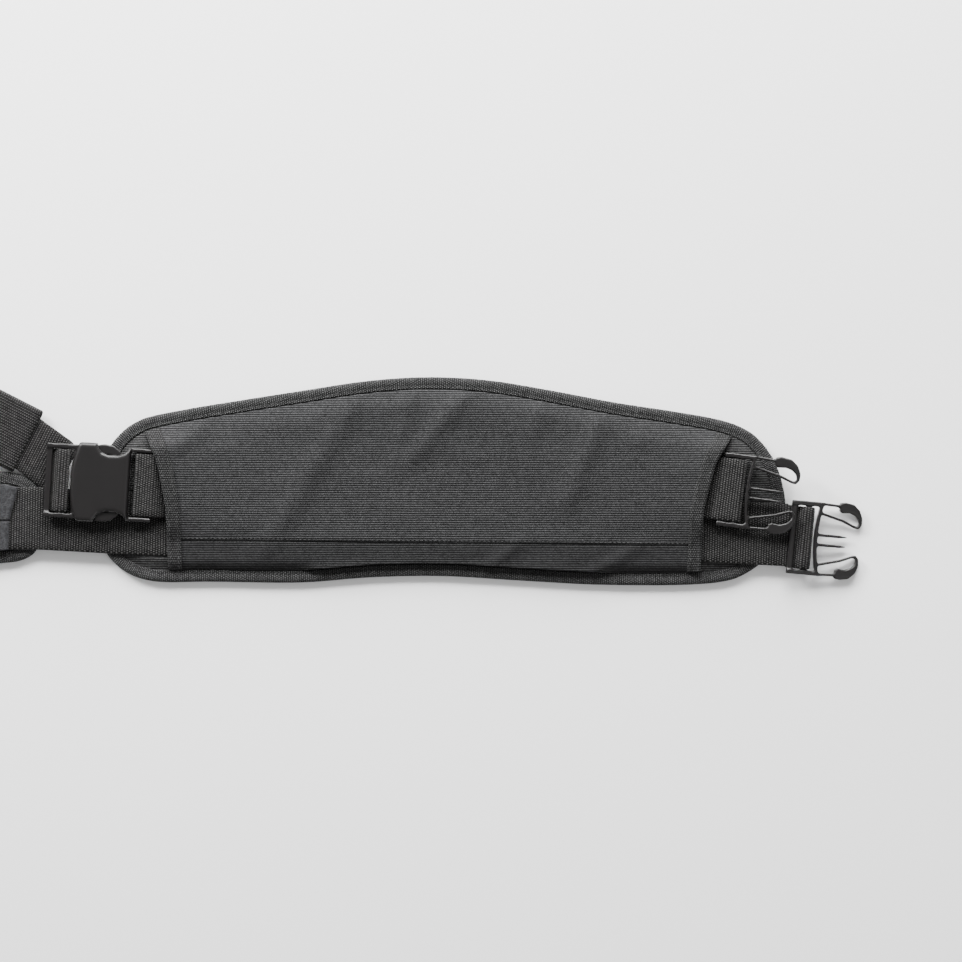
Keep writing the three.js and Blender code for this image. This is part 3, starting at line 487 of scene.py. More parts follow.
def edge_loop(node):
    """The outer line of a binding's flat top, in millimetres, anticlockwise from its left end."""
    bm = merged(node)
    top = max(v.co.z for v in bm.verts)
    faces = {f for f in bm.faces if all(abs(v.co.z - top) < LEVEL for v in f.verts)}
    nexts = {}
    for face in faces:
        for edge in face.edges:
            if sum(f in faces for f in edge.link_faces) == 1:
                for vert in edge.verts:
                    nexts.setdefault(vert, []).append(edge.other_vert(vert))
    loops = []
    while nexts:
        vert = next(iter(nexts))
        loop = []
        while vert in nexts:
            ways = nexts.pop(vert)
            loop.append((vert.co.x / MM, vert.co.y / MM, 0.0))
            vert = next((w for w in ways if w in nexts), ways[0])
        loops.append(loop)
    bm.free()
    outer = max(loops, key=lambda rows: max(x for x, _, _ in rows) - min(x for x, _, _ in rows))
    area = sum(a[0] * b[1] - b[0] * a[1] for a, b in zip(outer, outer[1:] + outer[:1]))
    line = outer if area > 0 else outer[::-1]
    start = line.index(min(line))
    return line[start:] + line[:start]


def ring_rows(loop, step, soft):
    """Even points round a loop with their inward directions, and the distance run."""
    rows, at = resampled(loop, step, True)
    rows = softened(rows, step, soft, True)
    along = np.roll(rows, -1, axis=0) - np.roll(rows, 1, axis=0)
    along /= np.linalg.norm(along, axis=1)[:, None]
    inward = np.column_stack([-along[:, 1], along[:, 0], np.zeros(len(rows))])
    return rows, inward, at


# Rolled edge of the binding: distance in from the top's outer line, height, ribbed share
BINDING_SECTION = [
    (8.3, 0.1, 0), (4.0, 0.0, 0), (0.4, 0.0, 0.5), (-0.7, 0.7, 1), (-1.15, 2.0, 1), (-1.2, 3.4, 1),
    (-1.0, 4.8, 1), (-0.3, 5.9, 1), (0.9, 6.5, 1), (2.4, 6.7, 1), (3.9, 6.6, 1), (5.1, 6.25, 1),
    (5.9, 6.0, 0.6), (6.8, 6.25, 0.8), (7.6, 6.3, 0.8), (8.25, 6.0, 0.6), (8.3, 5.55, 0), (4.4, 5.5, 0),
    (0.1, 5.4, 0), (0.1, 1.3, 0), (4.4, 1.2, 0), (8.3, 1.1, 0),
]
STITCH_LINE = 5.9


def binding(node, name, settings, material):
    """The bound edge, swept round the pad with ribs across it."""
    step = settings.binding_rib * 1000 / BINDING_RIB_STEPS
    rows, inward, at = ring_rows(edge_loop(node), step, BINDING_SOFTENING)
    ups = np.tile([0.0, 0.0, 1.0], (len(rows), 1))
    rib = Rib(settings.binding_rib * 1000, settings.binding_rib_height * 1000)
    bm = swept(rows, inward, ups, at, BINDING_SECTION, True, rib)
    for vert in bm.verts:
        if vert.co.z > PAD_MID:
            vert.co.z += 0.00025 * noise.noise(vert.co * 90)
    return new_piece(bm, name, material, [node])


# Covers


def creased(bm):
    """Keeps the sharp edges of a closed sheet through its subdivision."""
    layer = bm.edges.layers.float.get("crease_edge") or bm.edges.layers.float.new("crease_edge")
    for edge in bm.edges:
        if edge.is_manifold and edge.calc_face_angle(0) > CREASE_ANGLE:
            edge[layer] = 1.0


def quads(bm):
    """Joins the pairs of triangles of a grid."""
    bmesh.ops.join_triangles(
        bm, faces=bm.faces, angle_face_threshold=JOIN_ANGLE, angle_shape_threshold=JOIN_ANGLE)


def smooth_sheet(node, material):
    """A sheet with the outline of its CAD node and rounder faces."""
    bm = merged(node)
    quads(bm)
    creased(bm)
    piece = new_piece(bm, node + "_cloth", material, [node])
    finer = piece.modifiers.new("Finer", "SUBSURF")
    finer.levels = finer.render_levels = 2
    applied(piece)
    finished(piece, material)
    return piece


# Soft folds of the sleeve: ends of the ridge in plan, its half width and its rise
FOLDS = [
    {"top": (-70, 62), "foot": (-133, -43), "wide": 9, "rise": 2.4},
    {"top": (18, 69), "foot": (-17, 25), "wide": 7, "rise": 2.2},
    {"top": (-25, 69), "foot": (-29, 44), "wide": 7, "rise": 1.8},
    {"top": (128, 50), "foot": (103, -12), "wide": 8, "rise": 2.2},
    {"top": (-186, 50), "foot": (-208, 30), "wide": 8, "rise": 2.0},
    {"top": (80, 61), "foot": (75, 42), "wide": 7, "rise": 1.8},
    {"top": (58, -53), "foot": (42, -65), "wide": 5, "rise": 1.6},
    {"top": (151, -56), "foot": (127, -73), "wide": 6, "rise": 1.8},
]


def fold_lift(x, y):
    """How far the folds raise the sleeve at a point in plan, in millimetres."""
    total = 0.0
    for fold in FOLDS:
        top, foot = Vector(fold["top"]), Vector(fold["foot"])
        way = foot - top
        at = Vector((x, y)) - top
        share = at.dot(way) / way.length_squared
        off = abs(at.cross(way)) / way.length / fold["wide"]
        past = max(0.0, -share, share - 1) * way.length / (2 * fold["wide"])
        total += fold["rise"] * math.exp(-off * off) * math.exp(-past * past)
    return total


def cover(node, settings, material, seam):
    """A sheet of the sleeve, smoothed and puckered towards its seam."""
    piece = smooth_sheet(node, material)
    for vert in piece.data.vertices:
        x, y, z = vert.co
        lift = settings.wrinkle * max(0.0, noise.noise(Vector((x * 28, y * 55, 0.3))))
        near = math.exp(-abs(y - seam(x / MM) * MM) / 0.007)
        lift *= 1 - 0.6 * near
        drift = 3 * noise.noise(Vector((x * 40, 0.0, 2.0)))
        lift += settings.pucker * near * (0.5 + 0.5 * math.sin(x * 2 * math.pi / 0.011 + drift))
        vert.co.z = z + lift + fold_lift(x / MM, y / MM) * MM
    return piece


def sleeve_tape(node, material):
    """The tape along an open end of the sleeve."""
    return smooth_sheet(node, material)


# Stitches


def stitches(name, lines, settings, material, trees):
    """A row of stitches along each line of (x, y) in millimetres, laid on the surface."""
    one = bmesh.new()
    bmesh.ops.create_uvsphere(one, u_segments=6, v_segments=4, radius=1.0)
    length, width = settings.stitch_length, settings.thread
    bmesh.ops.rotate(one, verts=one.verts, matrix=Matrix.Rotation(math.pi / 2, 3, "Y"))
    bmesh.ops.scale(one, verts=one.verts, vec=(length / 2, width / 2, width / 2))
    shape = bpy.data.meshes.new(name + "_one")
    one.to_mesh(shape)
    one.free()
    bm = bmesh.new()
    for points, closed in lines:
        rows, _ = resampled([(x, y, 0.0) for x, y in points], settings.stitch_pitch * 1000, closed)
        for i, row in enumerate(rows):
            before = rows[i - 1] if i or closed else row
            after = rows[(i + 1) % len(rows)] if closed or i + 1 < len(rows) else row
            x, y = row[0] * MM, row[1] * MM
            z = highest(trees, x, y)
            if z is None:
                continue
            reach = Vector((after[0] - before[0], after[1] - before[1], 0)).normalized() * length * 0.4
            ends = [highest(trees, x + s * reach.x, y + s * reach.y) or z for s in (-1, 1)]
            way = Vector((2 * reach.x, 2 * reach.y, ends[1] - ends[0]))
            turn = way.to_track_quat("X", "Z").to_matrix().to_4x4()
            first = len(bm.verts)
            bm.from_mesh(shape)
            bm.verts.ensure_lookup_table()
            bmesh.ops.transform(
                bm, verts=bm.verts[first:], matrix=Matrix.Translation((x, y, z + width * 0.15)) @ turn)
    bpy.data.meshes.remove(shape)
    return new_piece(bm, name, material)


# Buckles


def moulded(node, name, material, voxel, passes, fillet=0.0):
    """A buckle half with the rounded edges of a moulding, in place of its CAD node."""
    bm = merged(node)
    bmesh.ops.dissolve_limit(bm, angle_limit=math.radians(1), verts=bm.verts, edges=bm.edges)
    if fillet:
        levels = [max(v.co.z for v in bm.verts), min(v.co.z for v in bm.verts)]
        rims = [
            e for e in bm.edges
            if any(all(abs(v.co.z - level) < LEVEL for v in e.verts) for level in levels)
            and e.is_manifold and e.calc_face_angle(0) > CREASE_ANGLE
        ]
        bmesh.ops.bevel(
            bm, geom=rims, offset=fillet, offset_type="OFFSET", segments=4, profile=0.5,
            affect="EDGES", clamp_overlap=False, material=-1)
    piece = new_piece(bm, name, material, [node])
    remesh = piece.modifiers.new("Remesh", "REMESH")
    remesh.mode = "VOXEL"
    remesh.voxel_size = voxel
    soft = piece.modifiers.new("Soft", "SMOOTH")
    soft.factor = 0.5
    soft.iterations = passes
    applied(piece)
    finished(piece, material)
    return piece


# Finishes

# Painted shade in the grooves and painted highlight on the rib tops, as shares of a cloth's own colour
GROOVE_SHADE_SHARE = 0.08
RIB_HIGHLIGHT_SHARE = 4.0


def socket_of(group, name, way, kind="NodeSocketFloat", value=None):
    made = group.interface.new_socket(name=name, in_out=way, socket_type=kind)
    if value is not None:
        made.default_value = value


def wired(tree, kind, *values, operation=None):
    """A node with its inputs filled in order by sockets or numbers."""
    node = tree.nodes.new(kind)
    if operation:
        node.operation = operation
    for slot_in, value in zip(node.inputs, values):
        if isinstance(value, bpy.types.NodeSocket):
            tree.links.new(value, slot_in)
        elif value is not None:
            slot_in.default_value = value
    return node


def math_node(tree, operation, *values):
    return wired(tree, "ShaderNodeMath", *values, operation=operation).outputs[0]


def arches(tree, turns):
    """One round arch for every whole turn."""
    half_turns = math_node(tree, "MULTIPLY", turns, math.pi)
    return math_node(tree, "ABSOLUTE", math_node(tree, "SINE", half_turns))


def woven_group():
    """Ribs with beads of thread between them, from two distances in metres; its Shade paints highlight on
    the rib tops and shade in the grooves, with worn patches.
    """
    name = "Woven ribs"
    if name in bpy.data.node_groups:
        return bpy.data.node_groups[name]
    group = bpy.data.node_groups.new(name, "ShaderNodeTree")
    socket_of(group, "Along", "INPUT")
    socket_of(group, "Across", "INPUT")
    socket_of(group, "Rib Pitch", "INPUT", value=0.0018)
    socket_of(group, "Bead Pitch", "INPUT", value=0.0012)
    socket_of(group, "Bead Share", "INPUT", value=0.35)
    socket_of(group, "Place", "INPUT", "NodeSocketVector")
    socket_of(group, "Height", "OUTPUT")
    socket_of(group, "Shade", "OUTPUT")
    start, end = group.nodes.new("NodeGroupInput"), group.nodes.new("NodeGroupOutput")
    along, across, rib, bead, share, place = start.outputs[:6]
    drift = wired(group, "ShaderNodeTexNoise")
    group.links.new(place, drift.inputs["Vector"])
    drift.inputs["Scale"].default_value = 60
    wander = math_node(group, "MULTIPLY", drift.outputs["Fac"], 0.0006)
    turns = math_node(group, "DIVIDE", math_node(group, "ADD", along, wander), rib)
    ridge = arches(group, turns)
    step = math_node(group, "MULTIPLY", math_node(group, "FLOOR", turns), 0.5)
    beads = math_node(group, "ADD", math_node(group, "DIVIDE", across, bead), step)
    knob = arches(group, beads)
    gap = math_node(group, "SUBTRACT", 1.0, knob)
    less = math_node(group, "SUBTRACT", 1.0, math_node(group, "MULTIPLY", share, gap))
    height = math_node(group, "MULTIPLY", ridge, less)
    worn = wired(group, "ShaderNodeTexNoise")
    group.links.new(place, worn.inputs["Vector"])
    worn.inputs["Scale"].default_value = 240
    worn.inputs["Detail"].default_value = 6
    patch = math_node(group, "MULTIPLY_ADD", worn.outputs["Fac"], 0.3, -0.12)
    thread = wired(group, "ShaderNodeTexNoise")
    group.links.new(place, thread.inputs["Vector"])
    thread.inputs["Scale"].default_value = 900
    broken = math_node(group, "MULTIPLY_ADD", thread.outputs["Fac"], 2.4, -0.35)
    # Painted highlight on the rib tops and painted shade in the grooves, broken by the threads
    rib_light_and_groove_shade = math_node(group, "MULTIPLY", math_node(group, "POWER", height, 2.0), broken)
    rib_shading_and_patches = wired(group, "ShaderNodeMath", rib_light_and_groove_shade, patch, operation="ADD")
    rib_shading_and_patches.use_clamp = True
    group.links.new(height, end.inputs["Height"])
    group.links.new(rib_shading_and_patches.outputs[0], end.inputs["Shade"])
    return group


def grain_group():
    """The fine grain of a moulded surface, with rubbed patches."""
    name = "Moulded grain"
    if name in bpy.data.node_groups:
        return bpy.data.node_groups[name]
    group = bpy.data.node_groups.new(name, "ShaderNodeTree")
    socket_of(group, "Place", "INPUT", "NodeSocketVector")
    socket_of(group, "Grain Scale", "INPUT", value=2600)
    socket_of(group, "Height", "OUTPUT")
    socket_of(group, "Shade", "OUTPUT")
    start, end = group.nodes.new("NodeGroupInput"), group.nodes.new("NodeGroupOutput")
    fine, broad = wired(group, "ShaderNodeTexNoise"), wired(group, "ShaderNodeTexNoise")
    group.links.new(start.outputs[0], fine.inputs["Vector"])
    group.links.new(start.outputs[1], fine.inputs["Scale"])
    group.links.new(start.outputs[0], broad.inputs["Vector"])
    broad.inputs["Scale"].default_value = 70
    broad.inputs["Detail"].default_value = 5
    group.links.new(fine.outputs["Fac"], end.inputs["Height"])
    group.links.new(broad.outputs["Fac"], end.inputs["Shade"])
    return group


def shader_of(name, roughness, specular, sheen):
    """A material by name, with its tree and shader if it is new."""
    material = bpy.data.materials.get(name)
    if material:
        return material, None, None
    material = bpy.data.materials.new(name)
    material.use_nodes = True
    tree = material.node_tree
    shader = tree.nodes["Principled BSDF"]
    shader.inputs["Roughness"].default_value = roughness
    shader.inputs["Specular IOR Level"].default_value = specular
    shader.inputs["Sheen Weight"].default_value = sheen
    shader.inputs["Sheen Roughness"].default_value = 0.5
    return material, tree, shader


def shaded(tree, shader, pattern, dark, light):
    """Colours a shader from dark to light by a pattern's shade, which is painted groove shade and rib
    highlight on the woven cloths and rubbed patches on the plastic.
    """
    ramp = wired(tree, "ShaderNodeMix")
    ramp.data_type = "RGBA"
    tree.links.new(pattern.outputs["Shade"], ramp.inputs["Factor"])
    first, second = [s for s in ramp.inputs if s.type == "RGBA"]
    first.default_value, second.default_value = (*dark, 1), (*light, 1)
    result = next(s for s in ramp.outputs if s.type == "RGBA")
    tree.links.new(result, shader.inputs["Base Color"])


def bumped(tree, shader, pattern, strength, relief):
    """Raises a shader's surface by a pattern's height."""
    bump = wired(tree, "ShaderNodeBump")
    bump.inputs["Strength"].default_value = strength
    bump.inputs["Distance"].default_value = relief
    tree.links.new(pattern.outputs["Height"], bump.inputs["Height"])
    tree.links.new(bump.outputs["Normal"], shader.inputs["Normal"])


def woven(name, dark, light, rib, bead, share, relief, follows_uv=False, turned=False):
    """A ribbed cloth finish with painted shade in the grooves and painted highlight on the ribs, by the
    piece's own map or by place on the object.
    """
    material, tree, shader = shader_of(name, 0.85, 0.12, 0.05)
    if not tree:
        return material
    coords = wired(tree, "ShaderNodeTexCoord")
    split = wired(tree, "ShaderNodeSeparateXYZ")
    if follows_uv:
        run = wired(tree, "ShaderNodeUVMap")
        run.uv_map = "run"
        tree.links.new(run.outputs["UV"], split.inputs[0])
    else:
        tree.links.new(coords.outputs["Object"], split.inputs[0])
    weave = wired(tree, "ShaderNodeGroup")
    weave.node_tree = woven_group()
    tree.links.new(split.outputs[1 if turned else 0], weave.inputs["Along"])
    tree.links.new(split.outputs[0 if turned else 1], weave.inputs["Across"])
    weave.inputs["Rib Pitch"].default_value = rib
    weave.inputs["Bead Pitch"].default_value = bead
    weave.inputs["Bead Share"].default_value = share
    tree.links.new(coords.outputs["Object"], weave.inputs["Place"])
    shaded(tree, shader, weave, dark, light)
    bumped(tree, shader, weave, 1.0, relief)
    return material


def moulding(name, dark, light, roughness):
    """A moulded plastic finish."""
    material, tree, shader = shader_of(name, roughness, 0.36, 0.0)
    if not tree:
        return material
    coords = wired(tree, "ShaderNodeTexCoord")
    grain = wired(tree, "ShaderNodeGroup")
    grain.node_tree = grain_group()
    tree.links.new(coords.outputs["Object"], grain.inputs["Place"])
    shaded(tree, shader, grain, dark, light)
    bumped(tree, shader, grain, 0.4, 0.00005)
    return material


def finish_of(settings, kind):
    """One of the belt's finishes, made on first use."""
    tint = getattr(settings, kind + "_colour")
    # Painted shade for the grooves and painted highlight for the rib tops of the woven finishes
    dark = tuple(c * GROOVE_SHADE_SHARE for c in tint)
    light = tuple(c * RIB_HIGHLIGHT_SHARE for c in tint)
    if kind == "cover":
        return woven("Ribbed cover cloth", dark, light, settings.cover_rib, 0.0011, 0.4, 0.0005, turned=True)
    # The lower band is the cover cloth with painted shade, where the band slopes away from the light
    if kind == "band":
        return woven("Lower band cloth", dark, light, settings.cover_rib, 0.0011, 0.4, 0.0004, turned=True)
    if kind == "front":
        return woven("Smooth front cloth", dark, light, 0.0009, 0.0009, 0.2, 0.0001, turned=True)
    if kind == "pad":
        return woven("Pad cloth", dark, light, settings.cover_rib, 0.0011, 0.5, 0.0005, turned=True)
    if kind == "edging":
        return woven(
            "Grosgrain binding", dark, light, settings.binding_rib, 0.0014, 0.9, 0.0005, follows_uv=True)
    if kind == "webbing":
        return woven("Webbing", dark, light, settings.webbing_rib, 0.0018, 0.9, 0.0005, follows_uv=True)
    if kind == "tape":
        return woven("Grosgrain tape", dark, light, settings.tape_rib, 0.0014, 0.9, 0.0005, turned=True)
    if kind == "thread":
        return woven("Thread", dark, light, 0.0006, 0.0006, 0.2, 0.00005)
    return moulding("Moulded plastic", tuple(c * 0.85 for c in tint), tuple(c * 1.15 for c in tint), 0.33)


# Sizes and colours that a user may change


def length(name, text, value):
    return bpy.props.FloatProperty(name=name, description=text, default=value, unit="LENGTH", precision=5)


def colour(name, text, value):
    return bpy.props.FloatVectorProperty(
        name=name, description=text, default=value, size=3, min=0, max=1, subtype="COLOR")


class BeltSettings(bpy.types.PropertyGroup):
    """Sizes and colours of the belt's soft goods and buckles."""

    webbing_rib: length("Webbing rib", "Distance between the ribs of the webbing", 0.0021)
    webbing_rib_height: length("Webbing rib height", "Depth of the webbing's ribs", 0.00035)
    binding_rib: length("Binding rib", "Distance between the ribs of the binding", 0.0017)
    binding_rib_height: length("Binding rib height", "Depth of the binding's ribs", 0.0002)
    tape_rib: length("Tape rib", "Distance between the ribs of the sleeve's tapes", 0.00185)
    cover_rib: length("Cover rib", "Distance between the ribs of the cover cloth", 0.00184)
    wrinkle: length("Wrinkles", "Height of the cover's soft wrinkles", 0.0012)
    pucker: length("Puckers", "Height of the puckers along the seam", 0.0005)
    pad_voxel: length("Pad mesh", "Size of the pad's mesh cells before it is filled", 0.004)
    pad_slack: length("Pad slack", "How much smaller the pad starts before it is filled", 0.0008)
    pad_swell: length("Pad swell", "The furthest that a point of the pad moves", 0.0014)
    pad_pressure: bpy.props.FloatProperty(
        name="Pad pressure", description="Pressure that fills the pad", default=4.0, min=0.0)
    pad_fill: bpy.props.FloatProperty(
        name="Pad fill", description="How tightly the pad is filled", default=0.8, min=0.0, max=1.0)
    stitch_pitch: length("Stitch pitch", "Distance between stitches", 0.0036)
    stitch_length: length("Stitch length", "Length of one stitch", 0.0026)
    thread: length("Thread", "Thickness of the thread", 0.0006)
    moulding_cell: length("Moulding mesh", "Size of the buckles' mesh cells", 0.0008)
    moulding_fillet: length("Moulding fillet", "Rounding of the socket's housing", 0.003)
    cover_colour: colour("Cover", "Colour of the cover cloth", (0.0142, 0.0142, 0.0146))
    # The lower band's colour is the cover cloth's darkened by painted shade, for the band's slope away from
    # the light
    band_colour: colour("Lower band", "Colour of the cover's lower band", (0.0088, 0.0088, 0.009))
    front_colour: colour("Front cover", "Colour of the front pad's cover", (0.0145, 0.0145, 0.0156))
    pad_colour: colour("Pad", "Colour of the pad's cloth", (0.019, 0.019, 0.019))
    edging_colour: colour("Binding", "Colour of the bindings", (0.024, 0.024, 0.024))
    tape_colour: colour("Tapes", "Colour of the sleeve's tapes", (0.0155, 0.0155, 0.0155))
    webbing_colour: colour("Webbing", "Colour of the straps", (0.0150, 0.0146, 0.0144))
    thread_colour: colour("Thread", "Colour of the stitching", (0.02, 0.02, 0.02))
    plastic_colour: colour("Plastic", "Colour of the buckles", (0.006, 0.0054, 0.0055))


class BeltOperator:
    """What the belt's operators share."""

    bl_options = {"REGISTER", "UNDO"}

    @property
    def settings(self):
        return bpy.context.scene.padded_belt


# CAD nodes that lie on each pad
OVER_HIP = (
    "belt_strap", "hip_binding", "hip_cover", "hip_cover_band", "hip_tape_left", "hip_tape_right",
    "upper_strap_left", "upper_strap_right", "left_socket", "upper_male",
)
OVER_FRONT = (
    "belt_strap", "front_binding", "front_cover", "front_cover_band", "far_strap", "yoke_strap",
)


class BELT_OT_pads(BeltOperator, bpy.types.Operator):
    """Make both foam pads"""

    bl_idname = "belt.pads"
    bl_label = "Pads"

    def execute(self, context):
        cloth = finish_of(self.settings, "pad")
        pad("hip_pad", "hip_pad_cushion", self.settings, cloth, OVER_HIP)
        pad("front_pad", "front_pad_cushion", self.settings, cloth, OVER_FRONT)
        return {"FINISHED"}


class BELT_OT_bindings(BeltOperator, bpy.types.Operator):
    """Make the bound edges of both pads"""

    bl_idname = "belt.bindings"
    bl_label = "Bindings"

    def execute(self, context):
        cloth, thread = finish_of(self.settings, "edging"), finish_of(self.settings, "thread")
        for node in ("hip_binding", "front_binding"):
            edge = binding(node, node + "_roll", self.settings, cloth)
            rows, inward, _ = ring_rows(edge_loop(node), 2.0, BINDING_SOFTENING)
            line = [(p[0] + n[0] * STITCH_LINE, p[1] + n[1] * STITCH_LINE) for p, n in zip(rows, inward)]
            stitches(node + "_stitching", [(line, True)], self.settings, thread, [piece_tree(edge)])
        return {"FINISHED"}


HIP_TAPES = ("hip_tape_left", "hip_tape_right")


def hip_seam(x):
    return -HIP_H / 2 + HIP_SEAM - 0.01 * x


def front_seam(_):
    return FRONT_SEAM


def seam_line(seam, low, high):
    """The line of stitches just above a seam, between two ends."""
    spots = [low + (high - low) * i / 60 for i in range(61)]
    return [(x, seam(x) + 1.6) for x in spots]


class BELT_OT_sleeves(BeltOperator, bpy.types.Operator):
    """Make the sleeves' covers, lower bands, tapes and seams"""

    bl_idname = "belt.sleeves"
    bl_label = "Sleeves"

    def execute(self, context):
        settings = self.settings
        cloth, thread = finish_of(settings, "cover"), finish_of(settings, "thread")
        tape, shaded_hip_band = finish_of(settings, "tape"), finish_of(settings, "band")
        hip = cover("hip_cover", settings, cloth, hip_seam)
        cover("hip_cover_band", settings, shaded_hip_band, hip_seam)
        smooth = finish_of(settings, "front")
        front = cover("front_cover", settings, smooth, front_seam)
        cover("front_cover_band", settings, smooth, front_seam)
        tapes = [sleeve_tape(node, tape) for node in HIP_TAPES]
        for piece, line in (
            (hip, seam_line(hip_seam, HIP_LEFT + 70, HIP_RIGHT - 80)),
            (front, seam_line(front_seam, FRONT_X - FRONT_L / 2 + 29, FRONT_RIGHT - 29)),
        ):
            name = piece.name + "_stitching"
            stitches(name, [(line, False)], settings, thread, [piece_tree(piece)])
        trees = [piece_tree(piece) for piece in tapes]
        lines = []
        for node, tree in zip(HIP_TAPES, trees):
            (x0, y0, _), (x1, y1, _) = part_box(node)
            lines += [(tape_line(tree, x0, x1, y0, y1, share), False) for share in (0.2, 0.8)]
        stitches("hip_tape_stitching", lines, settings, thread, trees)
        return {"FINISHED"}


def tape_line(tree, x0, x1, y0, y1, share):
    """Points down a tape at a share of its width, found by looking down on it."""
    line = []
    for i in range(1, 48):
        y = y0 + (y1 - y0) * i / 48
        found = [x for x in np.linspace(x0, x1, 120) if highest([tree], x, y) is not None]
        if len(found) > 6:
            line.append(((found[0] + (found[-1] - found[0]) * share) / MM, y / MM))
    return line


class BELT_OT_straps(BeltOperator, bpy.types.Operator):
    """Make the webbing straps, the loop and the keeper"""

    bl_idname = "belt.straps"
    bl_label = "Straps"

    def execute(self, context):
        settings, cloth = self.settings, finish_of(self.settings, "webbing")
        left = matrix_at(*CLOSED_BUCKLE)
        level = matrix_at(*UPPER_MALE)
        upper = matrix_at(*UPPER_MALE, UPPER_DROOP)
        seated = left @ Matrix.Translation((SOCKET_SEAT, 0, MALE_RISE))
        left_tab = tab(-SOCKET_OUTER, -SOCKET_MIDDLE, ON_PAD - CLOSED_BUCKLE[2] - SOCKET_BAR)
        right_tab = tab(MALE_OUTER, MALE_MIDDLE, ON_PAD - UPPER_MALE[2])
        left_path = loop_path(left_tab, bars_of(left), True)
        right_path = loop_path(right_tab[:TAB_ROWS], level) + loop_path(right_tab[TAB_ROWS:], upper)
        male_path = loop_path(under_loop(MALE_OUTER, MALE_MIDDLE, -OUTER_BAR_W), seated)
        strap(belt_path(), "belt_webbing", settings, cloth, "belt_strap")
        strap(left_path, "upper_webbing_left", settings, cloth, "upper_strap_left")
        strap(right_path, "upper_webbing_right", settings, cloth, "upper_strap_right")
        strap(male_path, "male_loop_webbing", settings, cloth, "male_loop")
        strap(yoke_path(), "yoke_webbing", settings, cloth, "yoke_strap", YOKE_W)
        strap(far_path(), "far_webbing", settings, cloth, "far_strap")
        wrap_keeper(settings, cloth)
        return {"FINISHED"}


def wrap_keeper(settings, material):
    """The keeper as a closed band of the same webbing."""
    step = settings.webbing_rib * 1000 / RIB_STEPS
    rows, at = resampled(keeper_path(), step, True)
    points, sides = rows[:, :3], rows[:, 3:]
    along = np.roll(points, -1, axis=0) - np.roll(points, 1, axis=0)
    ups = np.cross(along, sides)
    ups /= np.linalg.norm(ups, axis=1)[:, None]
    half, thick = KEEPER_L / 2, WEB_T / 2
    spans = np.linspace(-half + 1, half - 1, 9)
    section = [(s, thick, 1) for s in spans] + [(half, 0, 0)]
    section += [(s, -thick, 1) for s in spans[::-1]] + [(-half, 0, 0)]
    rib = Rib(settings.webbing_rib * 1000, settings.webbing_rib_height * 1000)
    bm = swept(points, sides, ups, at, section, True, rib)
    return new_piece(bm, "yoke_keeper_webbing", material, ["yoke_keeper"])


class BELT_OT_buckles(BeltOperator, bpy.types.Operator):
    """Make the moulded buckle halves"""

    bl_idname = "belt.buckles"
    bl_label = "Buckles"

    def execute(self, context):
        settings, plastic = self.settings, finish_of(self.settings, "plastic")
        cell = settings.moulding_cell
        fillet = settings.moulding_fillet
        moulded("left_socket", "left_socket_moulding", plastic, cell, 4, fillet)
        for node in ("left_male", "upper_male", "lower_male"):
            moulded(node, node + "_moulding", plastic, cell, 7)
        for node in ("far_socket_upper", "far_socket_lower"):
            moulded(node, node + "_moulding", plastic, cell * 1.5, 4, fillet)
        return {"FINISHED"}


# Soft lights round the belt: name, place, size and power
LIGHTS = (
    ("Key", (-1.4, 1.3, 1.0), 0.7, 95),
    ("Fill", (0.9, -0.9, 1.6), 1.4, 8),
    ("Top", (0.1, 1.8, 0.95), 1.5, 170),
)
ROOM_LIGHT = 0.45
FLOOR_REACH = 6


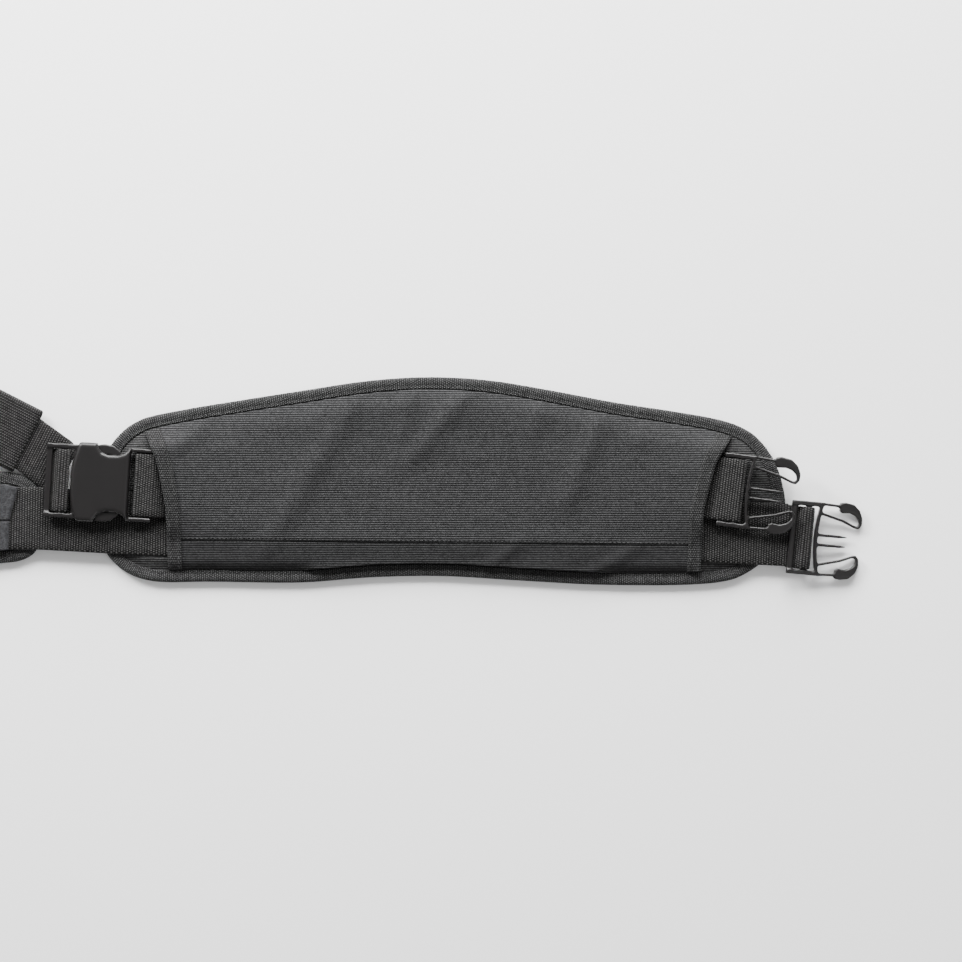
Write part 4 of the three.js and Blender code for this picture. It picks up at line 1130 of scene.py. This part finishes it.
class BELT_OT_stage(BeltOperator, bpy.types.Operator):
    """Make the pale floor, the soft lights and the camera over the belt"""

    bl_idname = "belt.stage"
    bl_label = "Stage"

    def execute(self, context):
        scene = context.scene
        bm = bmesh.new()
        bmesh.ops.create_grid(bm, x_segments=1, y_segments=1, size=FLOOR_REACH)
        mesh = bpy.data.meshes.new("floor")
        bm.to_mesh(mesh)
        bm.free()
        floor = bpy.data.objects.new("floor", mesh)
        scene.collection.objects.link(floor)
        pale = bpy.data.materials.new("Pale floor")
        pale.use_nodes = True
        shader = pale.node_tree.nodes["Principled BSDF"]
        shader.inputs["Base Color"].default_value = (0.93, 0.93, 0.93, 1)
        shader.inputs["Roughness"].default_value = 0.9
        mesh.materials.append(pale)
        world = bpy.data.worlds.new("Soft room")
        world.use_nodes = True
        world.node_tree.nodes["Background"].inputs["Color"].default_value = (1, 1, 1, 1)
        world.node_tree.nodes["Background"].inputs["Strength"].default_value = ROOM_LIGHT
        scene.world = world
        for name, spot, size, power in LIGHTS:
            light = bpy.data.lights.new(name, "AREA")
            light.size = size
            light.energy = power
            lamp = bpy.data.objects.new(name, light)
            lamp.location = spot
            lamp.rotation_euler = (-Vector(spot)).to_track_quat("-Z", "Y").to_euler()
            scene.collection.objects.link(lamp)
        data = bpy.data.cameras.new("Camera over the belt")
        data.lens = PHOTO_LENS
        data.sensor_width = PHOTO_SENSOR
        camera = bpy.data.objects.new("Camera over the belt", data)
        distance = PHOTO_WIDTH * PHOTO_LENS / PHOTO_SENSOR
        camera.location = (*PHOTO_CENTRE, distance + PHOTO_PLANE)
        scene.collection.objects.link(camera)
        scene.camera = camera
        return {"FINISHED"}


STEPS = (
    BELT_OT_stage, BELT_OT_straps, BELT_OT_pads, BELT_OT_bindings, BELT_OT_sleeves, BELT_OT_buckles,
)


class BELT_PT_panel(bpy.types.Panel):
    """The belt's makers and sizes"""

    bl_idname = "BELT_PT_panel"
    bl_label = "Padded Belt"
    bl_space_type = "VIEW_3D"
    bl_region_type = "UI"
    bl_category = "Padded Belt"

    def draw(self, context):
        for step in STEPS:
            self.layout.operator(step.bl_idname)
        for name in BeltSettings.__annotations__:
            self.layout.prop(context.scene.padded_belt, name)


def register():
    bpy.utils.register_class(BeltSettings)
    bpy.types.Scene.padded_belt = bpy.props.PointerProperty(type=BeltSettings)
    for step in STEPS:
        bpy.utils.register_class(step)
    bpy.utils.register_class(BELT_PT_panel)


def unregister():
    bpy.utils.unregister_class(BELT_PT_panel)
    for step in reversed(STEPS):
        bpy.utils.unregister_class(step)
    del bpy.types.Scene.padded_belt
    bpy.utils.unregister_class(BeltSettings)


def main():
    register()
    for step in STEPS:
        group, call = step.bl_idname.split(".")
        getattr(getattr(bpy.ops, group), call)()


if __name__ == "__main__":
    main()
